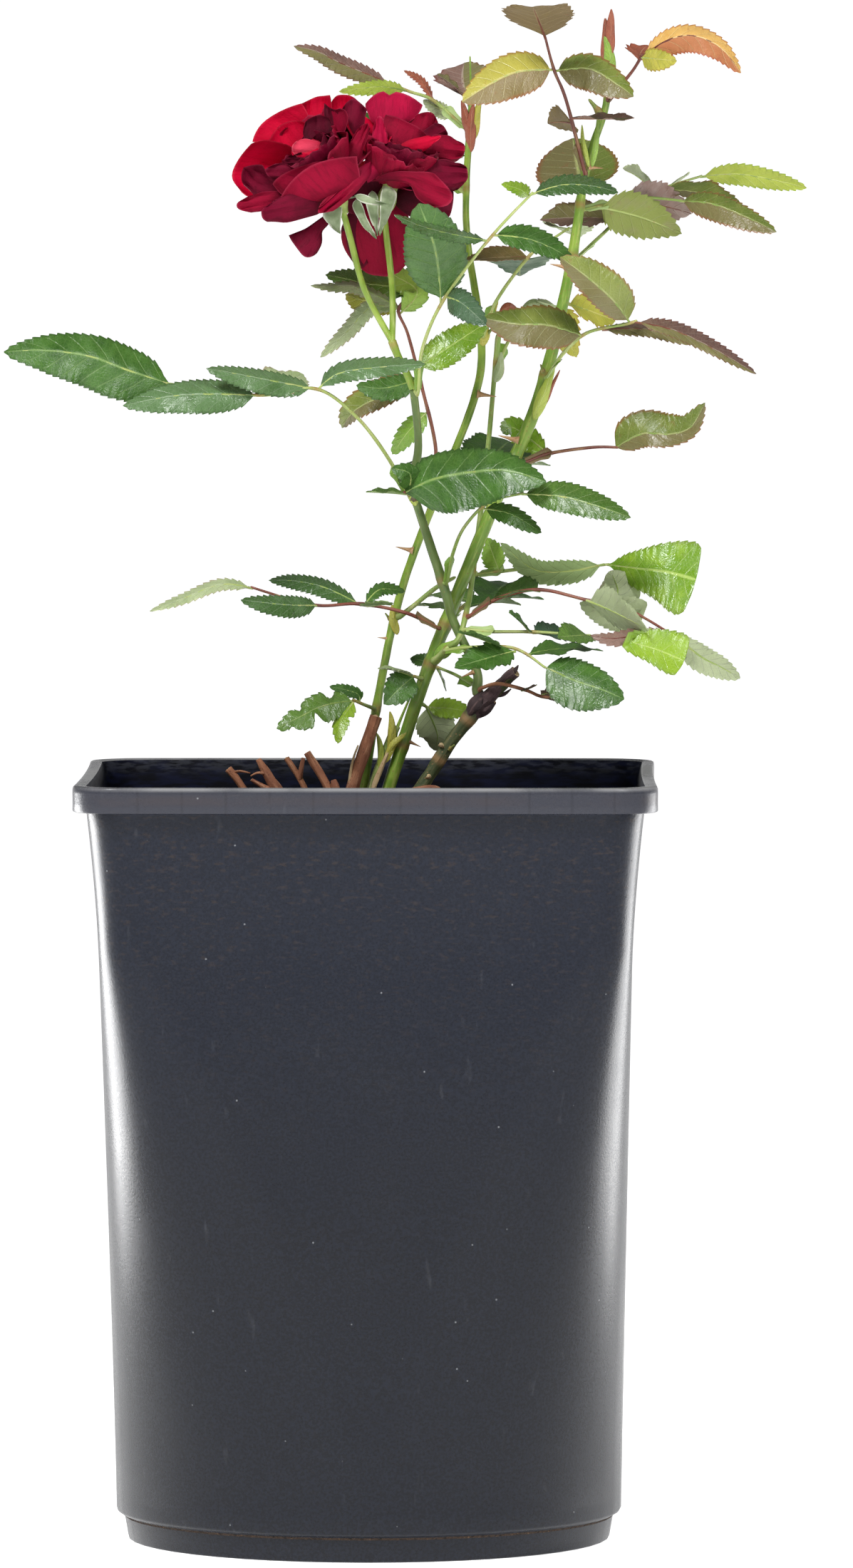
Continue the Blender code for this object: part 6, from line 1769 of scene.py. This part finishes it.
@dataclass(frozen=True)
class Sail:
    """A petal or sepal drawn by its outline, as seen from the front, and then given its depth.

    Places are (x, z), in mm, with z over BLOOM_LEVEL. The outline runs from `base` up `left` and
    `right` to the two ends of the rim, whose middle is `rim`. `depth` is y at the base and at the
    rim, `belly` how far it swells to the front on the way, and `cup` how far its middle line stands
    before its sides, or behind them if negative.
    """

    hue: Hue | None
    base: Point
    left: Sequence[Point]
    rim: Point
    right: Sequence[Point]
    depth: Point
    belly: float = 2.0
    cup: float = 2.0
    ruffle: float = 0.35
    notch: float = 0.0
    roll: float = 1.2
    seed: float = 1.0

    def chain(self, points: Sequence[Point], rows: np.ndarray) -> np.ndarray:
        """The smooth line from the base through these points, at these shares of its length."""
        fine = np.array(curve_at([self.base, *points], 12 * len(points)))
        run = run_along(fine)
        return rows_at(fine, run, rows * run[-1])

    def grow(self, draft: Draft) -> None:
        """Adds the shell to the draft."""
        draw = Random(self.seed + 7 * self.base[0] + 3 * self.rim[1])
        t = np.linspace(0, 1, 17) ** 0.9
        s = np.sin(np.linspace(-pi / 2, pi / 2, 15))
        left, right = self.chain(self.left, t), self.chain(self.right, t)
        middle = (left + right) / 2
        middle = middle + (np.array(self.rim) - middle[-1]) * (t ** 2.2)[:, None]
        flat = (middle[:, None] + (right - left)[:, None] / 2 * s[None, :, None]
                + ((left + right) / 2 - middle)[:, None] * (s ** 2)[None, :, None])
        tt, ss = t[:, None], s[None, :]
        shape = flat[-1:] - flat[-4:-3]
        flat = flat - shape * (self.notch * np.exp(-(ss / 0.12) ** 2) * tt ** 8)[..., None]
        wide = np.linalg.norm(right - left, axis=1)[:, None]
        y = self.depth[0] + (self.depth[1] - self.depth[0]) * tt - self.belly * 4 * tt * (1 - tt) * 0.9
        y = y - self.cup * (1 - ss ** 2) * np.minimum(1, wide / 8)
        wave = draw.uniform(1.6, 2.8) * pi
        y = y + self.ruffle * tt ** 2 * (np.sin(wave * ss + draw.uniform(0, 6)) * 2
                                         + np.sin(2.4 * wave * ss + draw.uniform(0, 6)))
        y = y + self.ruffle * np.sin(11 * tt + draw.uniform(0, 6)) * np.abs(ss) ** 3
        y = y - self.roll * np.clip((tt - 0.86) / 0.14, 0, 1) ** 2
        edge = 0.35 * self.ruffle * np.sin(17 * tt + 5 * ss + draw.uniform(0, 6))
        points = on_grid(y.shape, flat[..., 0] + edge, y, flat[..., 1] + BLOOM_LEVEL + edge * tt)
        chance = draw.random()
        looks = on_grid(y.shape, np.abs(ss), tt, chance)
        grain = on_grid(y.shape, wide * ss / 2, 40 * chance, tt * PETAL_GRAIN)
        skins = self.hue.skins if self.hue else (sepal_skin(), sepal_skin())
        Sheet(points, normals_of(points), 0.35, skins, grain, looks).grow(draft)


@dataclass(frozen=True)
class Bloom:
    """A bloom: its stalk's line, the way it faces, its petals' length as its radius, and its rings of
    open petals, each (how many, lean from the axis in degrees, share of the length)."""

    stalk: Sequence[Point]
    heading: Point
    radius: float
    rings: Sequence[tuple[int, float, float]]


BLOOM_LEVEL = 400.0
PETAL_GRAIN = 26.0  # the length that a petal's pattern is drawn for
# C and W are the velvet red painted in part shade and deep shade, and H in the deepest shade.
S, C, W, M, H, P = Hue.SCARLET, Hue.CRIMSON, Hue.WINE, Hue.MAGENTA, Hue.SHADE, Hue.PINK
SPRAY_FOOT = [(14.7, -14.5, 379.6), (13, -15, 384), (10, -16, 390), (8, -16.5, 395)]
BLOOMS = [
    Bloom([(8, -16.5, 395), (-1, -17, 412), (-6, -17, 430), (-8.5, -18, 439)], (-0.50, -0.30, 0.80), 26.0,
          [(6, 88, 0.9), (6, 60, 1.0)]),
    Bloom([(8, -16.5, 395), (8, -14, 412), (6, -12, 430), (5, -12, 438)], (0.28, -0.20, 0.92), 26.0,
          [(6, 90, 0.9), (6, 58, 1.0)]),
]
SAILS = [  # the left bloom's cup, its heart painted dark as shade, and its front, then the right bloom
    Sail(S, (-18, 50), [(-28, 43.5), (-37, 42), (-42, 45)], (-44.3, 51), [(-24, 58), (-32, 61), (-38, 60)],
         (-14, -18), -1, -6),
    Sail(S, (-18, 52), [(-27, 57), (-34, 60), (-38, 60.5)], (-33.5, 67.8), [(-17, 60), (-19, 68), (-22, 73)],
         (-12, -4), -1, -4),
    Sail(S, (-17, 52), [(-24, 55), (-29, 58), (-32.3, 61)], (-28, 66.5), [(-15, 58), (-18, 63), (-21, 67)],
         (-16, -10), -1, -3),
    Sail(S, (-15, 54), [(-19, 62), (-22, 68), (-22, 73)], (-17, 75.2),
         [(-11, 62), (-11.5, 69), (-12.7, 75.7)],
         (-10, 0), -1, -3),
    Sail(S, (-12, 54), [(-12, 62), (-12, 68), (-12, 73.8)], (-9, 76), [(-6, 60), (-4, 67), (-4, 74.5)],
         (-10, -1), -1, -2),
    Sail(W, (-9, 57), [(-9.5, 63), (-9.5, 67.5), (-8, 72)], (-4.5, 74.5),
         [(-5, 60), (-1.5, 65.5), (-0.5, 71)],
         (-14, -8), 1, 2),
    Sail(H, (-10, 56), [(-12, 62), (-14, 68), (-14.5, 73)], (-12, 71.5), [(-7, 60), (-7, 66), (-10, 70)],
         (-16, -12), 1, -2),
    Sail(H, (-13, 57), [(-18, 58.5), (-21, 62), (-20.5, 67)], (-17, 69),
         [(-11.5, 61), (-11.5, 65), (-12.5, 68.5)],
         (-18, -14), 0, -2),
    Sail(P, (-12, 58.5), [(-16, 55.5), (-20, 55), (-23, 55.5)], (-24.7, 58.5),
         [(-16, 60.5), (-20, 61.5), (-22.8, 61)],
         (-21, -25), 1, 2.5, 0.15),
    Sail(M, (-12.5, 57), [(-12.5, 59.5), (-11.8, 61.5)], (-10, 62), [(-9.5, 58), (-8, 60.5)], (-21, -22), 1,
         1, 0.15),
    Sail(H, (-12, 54), [(-18, 53.5), (-24, 53.5)], (-27, 54.5), [(-16, 56.8), (-22, 57)], (-22, -26), 1, 1,
         0.2),
    Sail(M, (0, 47), [(-1, 54), (1, 60), (2, 66)], (4, 69), [(7, 52), (7, 58), (6, 64)], (-20, -14), 1, 2),
    Sail(C, (-8, 53), [(-8, 57), (-5.5, 61), (-3, 65)], (-0.5, 66.5), [(-3, 54), (-1, 59), (1, 65)],
         (-23, -20), 1, 2),
    Sail(W, (-14, 50), [(-22, 47), (-28, 48), (-31, 48.5)], (-33.5, 51),
         [(-16, 55), (-24, 54.8), (-31, 52.8)],
         (-23, -26), 1, 1),
    Sail(C, (-11, 45), [(-20, 42), (-27, 43), (-31, 46.5)], (-26.5, 50.5),
         [(-9, 50), (-12, 53.5), (-16, 54.3)],
         (-24, -31), 2, 2),
    Sail(W, (-24, 44), [(-32, 42.5), (-37, 43), (-40.5, 47)], (-40.5, 52),
         [(-27, 47.5), (-31, 49), (-34.5, 52.8)],
         (-22, -25), 1, -1, 0.6, 0, 2.5),
    Sail(C, (-9, 42), [(-16, 40), (-23, 40), (-28.2, 42.3)], (-18.5, 52.6),
         [(-3, 46), (-2.6, 51), (-3.3, 55.7)],
         (-24, -35), 3, 3, 0.4),
    Sail(C, (-20, 40), [(-27, 39.5), (-34, 38), (-38, 37.3)], (-42.7, 39.7),
         [(-26, 44), (-33, 44.3), (-39, 42.5)],
         (-24, -31), 2, 2),
    Sail(W, (-12, 41.5), [(-15, 37.5), (-19, 36), (-26, 34.3), (-32.5, 34.5)], (-34.5, 37.7),
         [(-15, 44), (-21, 45), (-27, 43.5), (-31, 40.5)], (-26, -36), 3, 3, 0.4),
    Sail(C, (1, 54), [(-5, 50), (-11, 44), (-15, 40.5)], (-15.7, 37.5), [(0.5, 49), (-5, 43), (-11, 38)],
         (-29, -33), 2, 2, 0.5),
    Sail(M, (6, 62), [(2, 66), (-0.5, 70), (-1, 73)], (7, 77.3), [(12, 66), (16, 69), (17.8, 72.5)],
         (-5, 4), 1, 3, 0.4, 0.35),
    Sail(C, (12, 60), [(12, 65), (14, 68)], (19.5, 70.3), [(18, 61), (22, 63), (23, 67)], (-4, 2), 1, 2),
    Sail(W, (14, 58), [(17, 63), (22, 66.8)], (25.7, 64.5), [(20, 58), (25.5, 61)], (-6, 0), 1, 2),
    Sail(C, (8, 56), [(5, 61), (4.5, 66), (5.8, 69.3)], (13.3, 67), [(14, 57), (18, 60), (19.7, 62.5)],
         (-12, -9), 1, 2, 0.3),
    Sail(M, (4, 46), [(3, 54), (5, 60), (8, 64)], (18, 62), [(14, 47), (22, 51), (27, 57)], (-14, -8), -1,
         -3),
    Sail(S, (8, 57.8), [(12, 56.7), (17, 57), (20, 59)], (24, 62), [(12, 60.3), (17, 61.9), (21.5, 62.3)],
         (-17, -14), 1, 1, 0.15),
    Sail(C, (17, 57), [(21, 62.5), (26, 62.5), (30, 60.7)], (31.9, 57.5), [(22, 54.5), (26, 53), (29, 54)],
         (-11, -7), 1, 2, 0.5),
    Sail(W, (13, 49), [(19, 53.5), (25, 54.7), (31, 53)], (33, 49.5), [(18, 45), (24, 43), (29.7, 45)],
         (-16, -14), 1, 2, 0.6),
    Sail(H, (9, 46), [(16, 46), (24, 48), (28, 44)], (27, 36.5), [(9, 40), (14, 36), (23, 35)], (-11, -14),
         1, 2),
    Sail(C, (1, 47.5), [(7, 50.4), (14, 50.9), (22, 50.4)], (27.9, 42),
         [(8, 47.6), (13.5, 46.8), (16, 42.5), (21, 39)],
         (-20, -31), 2, 2.5, 0.4),
    Sail(C, (3, 44), [(-5, 39), (-9, 31), (-6.5, 23), (-1, 17.8)], (4.5, 16.3),
         [(11, 41), (14, 33), (15, 24), (10, 17.5)],
         (-8, -5), 2, 3, 0.3),
    Sail(H, (0, 43), [(-5, 39), (-9, 31), (-6.7, 23.5)], (-2.2, 19), [(2, 41), (3.5, 33), (2, 25)],
         (-8.6, -6.4), 2, 1),
    Sail(H, (-4, 52), [(-14, 49), (-13, 42), (-8, 38)], (0, 36), [(10, 50), (12, 43), (8, 38)], (-9, -8), 1,
         2, 0.3),
    Sail(W, (-11, 38.5), [(-15, 35.8), (-20, 32.3), (-25.8, 30)], (-21.5, 23.6),
         [(-12.8, 34), (-15.2, 31), (-15.3, 27),
         (-17.5, 23.3)], (-15, -18), 1, 1.5, 0.3),
    Sail(None, (-8.5, 40.5), [(-12.5, 38.4), (-14.7, 36.6), (-12.3, 33)], (-9.2, 30.5),
         [(-8.4, 38), (-8.8, 34.5),
         (-9, 31.5)], (-20, -23), 0.5, 1, 0.1),
    Sail(None, (-3.4, 42), [(-5, 39.5), (-2.4, 34), (0.8, 30.5)], (2.9, 28.7), [(-2, 40), (0, 35), (2.2, 31)],
         (-15, -18), 0.5, 0.6, 0.1),
    Sail(None, (1.4, 44.5), [(-0.6, 41), (0.8, 36), (2.4, 32)], (3.2, 29.6),
         [(3.4, 42), (3.5, 37), (3.6, 32)],
         (-14, -16.5), 0.8, 0.8, 0.1),
    Sail(None, (5.6, 46.5), [(4.2, 42.5), (4.1, 37.5), (3.6, 32.5)], (4.0, 29.8),
         [(9.4, 43.5), (7.6, 38), (5.0, 32.5)],
         (-15, -18.5), 1.2, 1.2, 0.1),
    Sail(None, (-4.5, 43), [(-2, 40.7), (2, 39.8)], (7, 40), [(-1, 43.3), (3, 41.2)], (-19, -22), 0.5, 0.6,
         0.1),
]
HIP_LENGTH, HIP_RADIUS = 9.0, 3.4
SEPALS, SEPAL_LENGTH = 5, 15.0
PETAL_SEED = 7
# The inner rings are mostly painted in the darker reds, as the shade deep in the bloom.
HEART_RINGS = ((6, 36, 0.72, C), (5, 26, 0.66, W), (5, 17, 0.60, H), (4, 9, 0.54, S), (3, 4, 0.48, H))


@dataclass
class Spray:
    """The fork with its two blooms."""

    blooms: Sequence[Bloom]

    def grow(self) -> Object:
        """Makes the spray's piece."""
        draft, draw = Draft("bloom_spray"), Random(PETAL_SEED)
        Stem([(*p, 1.25) for p in SPRAY_FOOT], Bark.LIME, joints=[0.9], tip="round", seed=5).grow(draft)
        for number, spec in enumerate(self.blooms):
            self.stalk(draft, spec, number)
            self.outer(draft, spec, draw, number)
            self.heart(draft, spec, number)
        for sail in SAILS:
            sail.grow(draft)
        return draft.build(60.0)

    @staticmethod
    def axes(spec: Bloom) -> tuple[Vector, Vector, Vector, Vector]:
        """The bloom's axis, two directions square to it, and the seat of its petals."""
        axis = Vector(spec.heading).normalized()
        side = axis.orthogonal().normalized()
        return axis, side, axis.cross(side), Vector(spec.stalk[-1]) + axis * (HIP_LENGTH - 1.5)

    def stalk(self, draft: Draft, spec: Bloom, number: int) -> None:
        """The flower stalk, the hip that it swells into, and the sepals at its back."""
        axis, side, across, seat = self.axes(spec)
        top = Vector(spec.stalk[-1])
        Stem([(*p, 1.05) for p in spec.stalk], Bark.LIME, sides=14, seed=8 + number).grow(draft)
        hip = [(*(top + axis * z), r) for z, r in
               ((-2.5, 1.0), (-1.0, 1.7), (1.0, 3.0), (3.2, HIP_RADIUS), (5.5, 3.1), (7.5, 2.5), (8.6, 2.7))]
        Stem(hip, Bark.PALE, sides=20, step=0.6, rough=0.01, seed=12 + number).grow(draft)
        for k in range(SEPALS):
            angle = 2 * pi * (k + 0.3) / SEPALS
            out = cos(angle) * side + sin(angle) * across
            if out.y > 0:
                self.sepal(draft, seat - axis * 1.5, out, axis, 20 * number + k)

    @staticmethod
    def sepal(draft: Draft, foot: Vector, out: Vector, axis: Vector, seed: int) -> None:
        """A narrow sepal that bends down, with a downy white rim and a drawn-out tip."""
        draw = Random(seed)
        t = np.linspace(0, 1, 16)[:, None]
        s = np.linspace(-1, 1, 7)[None, :]
        half = np.interp(t, (0, 0.2, 0.5, 0.75, 1), (1.5, 2.4, 1.6, 0.7, 0.15))
        ahead = np.array((out * 0.8 - axis * 0.6).normalized())
        across = np.array((out.cross(axis)).normalized())
        normal = np.cross(ahead, across)
        lift = SEPAL_LENGTH * (0.35 * t * (1 - t)) + 0.25 * half * s ** 2 + 0.4 * np.sin(7 * t + seed)
        points = (np.array(foot) + ahead * (SEPAL_LENGTH * t)[..., None]
                  + across * (half * s + draw.uniform(-2, 2) * t ** 2)[..., None] + normal * lift[..., None])
        looks = on_grid(lift.shape, np.abs(s), t, 0.5)
        Sheet(points, normals_of(points), 0.4, (sepal_skin(), sepal_skin()), points, looks).grow(draft)

    def outer(self, draft: Draft, spec: Bloom, draw: Random, number: int) -> None:
        """The open petals at the back of the bloom, which grow where the solid's do."""
        axis, side, across, seat = self.axes(spec)
        hues = (C, S, W, C, M, S)
        for ring, (count, lean, size) in enumerate(spec.rings):
            for k in range(count):
                angle = 2 * pi * (k + 0.5 * (ring % 2) + draw.uniform(-0.08, 0.08)) / count
                out = cos(angle) * side + sin(angle) * across
                tilt = radians(lean + draw.uniform(-6, 6))
                foot = seat + axis * (1.5 + 5 * ring) + out * 1.5
                length = spec.radius * size * draw.uniform(0.94, 1.04)
                heading = out * sin(tilt) + axis * cos(tilt)
                if heading.y > 0.25:
                    Petal(foot, heading, axis, 0.92 * length, 1.0 * length, hues[k], roll=0.05,
                          seed=100 * number + 10 * ring + k).grow(draft)

    def heart(self, draft: Draft, spec: Bloom, number: int) -> None:
        """The crowded inner petals, each ring smaller and more upright."""
        axis, side, across, seat = self.axes(spec)
        draw = Random(PETAL_SEED + number)
        for ring, (count, lean, size, hue) in enumerate(HEART_RINGS):
            for k in range(count):
                angle = 2 * pi * (k + 0.4 * ring + draw.uniform(-0.12, 0.12)) / count
                out = cos(angle) * side + sin(angle) * across
                tilt = radians(lean + draw.uniform(-7, 7))
                foot = seat + axis * (1.0 + 0.8 * ring) + out * (2.6 - 0.4 * ring) + Vector((0, 3, 0))
                length = spec.radius * size * draw.uniform(0.92, 1.06)
                Petal(foot, out * sin(tilt) + axis * cos(tilt), axis, length, 0.85 * length, hue, bow=0.16,
                      cup=0.6, roll=0.10, seed=200 + 100 * number + 10 * ring + k).grow(draft)


@once
def sepal_skin() -> Material:
    """Downy sepal: grey-green, with a white felted rim."""
    art = Sketch("rose_sepal_downy_white_rim")
    side = art.split(art.attribute("looks"))[0]
    place = art.place()
    colour = art.blend(art.ramp(art.noise(place, 3.0), 0.35, 0.65), "#7E9068", "#9AA886")
    colour = art.blend(art.ramp(side, 0.70, 0.95, 0.0, 0.85), colour, "#DDE0CE")
    return art.finish(colour, 0.7, art.bump(art.noise(place, 0.5), 0.1))


# ---------------------------------------------------------------- studio


@dataclass(frozen=True)
class Studio:
    """The camera, the pale floor and the soft light. Sizes here are in metres."""

    place: Point = (0.061, -4.2, 0.4735)
    yaw: float = -0.572
    tilt: float = 3.06
    lens: float = 292.9
    sensor: float = 36.0
    sight: float = 60.0  # how far the camera sees
    flat: float = 5.0  # the floor is level this far out, and curves up to `rise` at its edge
    rise: float = 1.2
    reach: float = 9.0
    front: float = 0.42  # the room's light from in front, from behind and from above
    back: float = 2.4
    above: float = 1.0

    def camera(self) -> Object:
        """The camera, which looks slightly down."""
        made = bpy.data.cameras.new("camera")
        made.lens, made.sensor_width, made.clip_end = self.lens, self.sensor, self.sight
        obj = bpy.data.objects.new("camera", made)
        obj.location = self.place
        obj.rotation_euler = (radians(90 - self.tilt), 0, -radians(self.yaw))
        bpy.context.scene.collection.objects.link(obj)
        bpy.context.scene.camera = obj
        return obj

    def floor(self) -> Object:
        """A wide pale dish: flat under the pot, and rising a little far away."""
        rings = [0.0] + [self.reach * (i / 28) ** 1.5 for i in range(1, 29)]
        turns = 72
        points = [(0, 0, 0)] + [(r * cos(2 * pi * k / turns), r * sin(2 * pi * k / turns),
                                 self.rise * max(0.0, (r - self.flat) / (self.reach - self.flat)) ** 2)
                                for r in rings[1:] for k in range(turns)]
        faces = [(0, 1 + k, 1 + (k + 1) % turns) for k in range(turns)]
        faces += [(1 + i * turns + k, 1 + (i + 1) * turns + k, 1 + (i + 1) * turns + (k + 1) % turns,
                   1 + i * turns + (k + 1) % turns) for i in range(len(rings) - 2) for k in range(turns)]
        mesh = bpy.data.meshes.new("floor")
        mesh.from_pydata(points, [], faces)
        mesh.polygons.foreach_set("use_smooth", [True] * len(faces))
        art = Sketch("pale_matte_floor")
        mesh.materials.append(art.finish(linear("#E8E8E8"), 0.9, emission_color=linear("#FFFFFF"),
                                         emission_strength=0.92))
        obj = bpy.data.objects.new("floor", mesh)
        bpy.context.scene.collection.objects.link(obj)
        return obj

    def light(self, name: str, place: Point, target: Point, size: float, power: float,
              only: Object | None = None) -> None:
        """A soft square light, which may light one piece only, and then only its sheen."""
        made = bpy.data.lights.new(name, "AREA")
        made.shape, made.size, made.energy = "SQUARE", size, power
        obj = bpy.data.objects.new(name, made)
        if only:
            group = bpy.data.collections.new(name + "_lights")
            group.objects.link(only)
            obj.light_linking.receiver_collection = group
            obj.visible_diffuse = obj.visible_camera = False
        obj.location = place
        obj.rotation_euler = (Vector(place) - Vector(target)).to_track_quat("Z", "Y").to_euler()
        bpy.context.scene.collection.objects.link(obj)

    def world(self) -> None:
        """A white room: plain to the camera, and as light brightest behind the plant and dim in front."""
        world = bpy.data.worlds.new("world")
        world.use_nodes = True
        tree, sky = world.node_tree, world.node_tree.nodes["Background"]
        way = add_node(tree, "ShaderNodeTexCoord").outputs["Generated"]
        _, back, up = add_node(tree, "ShaderNodeSeparateXYZ", {0: way}).outputs
        light = add_node(tree, "ShaderNodeMapRange",
                         {0: back, 1: -0.30, 2: 0.55, 3: self.front, 4: self.back},
                         interpolation_type="SMOOTHSTEP").outputs[0]
        above = add_node(tree, "ShaderNodeMapRange",
                         {0: up, 1: 0.25, 2: 0.95, 3: 0.0, 4: self.above}).outputs[0]
        light = add_node(tree, "ShaderNodeMath", {0: light, 1: above}, operation="ADD").outputs[0]
        seen = add_node(tree, "ShaderNodeLightPath").outputs["Is Camera Ray"]
        shown = add_node(tree, "ShaderNodeMix", {0: seen, 2: light, 3: 1.0}).outputs[0]
        tree.links.new(shown, sky.inputs["Strength"])
        bpy.context.scene.world = world

    def build(self, pot: Object) -> None:
        """Sets the stage, with two strips of light for the pot's sides."""
        self.camera()
        self.floor()
        self.world()
        self.light("key", (-1.0, -1.6, 2.4), (0, 0, 0.35), 0.8, 62.0)
        self.light("fill", (1.3, -1.8, 1.8), (0, 0, 0.35), 0.8, 24.0)
        self.light("left_strip", (-0.390, 0.125, 0.13), (-0.086, 0.0, 0.14), 0.20, 2.1, pot)
        self.light("right_strip", (0.385, 0.130, 0.13), (0.086, 0.0, 0.14), 0.22, 1.4, pot)
        bpy.context.scene.view_settings.view_transform = "Standard"


def main() -> None:
    """Builds the rose and its stage."""
    logging.basicConfig(level=logging.INFO, format="%(message)s")
    pot = Pot()
    Studio().build(pot.build())
    Compost(pot).build()
    canes = CaneSet(CANES)
    canes.grow()
    canes.thorns()
    for spec in LEAVES + [rear_leaf(*row) for row in REAR_LEAVES]:
        CompoundLeaf(spec, canes.fine(spec.cane)).grow()
    Spray(BLOOMS).grow()


if __name__ == "__main__":
    main()
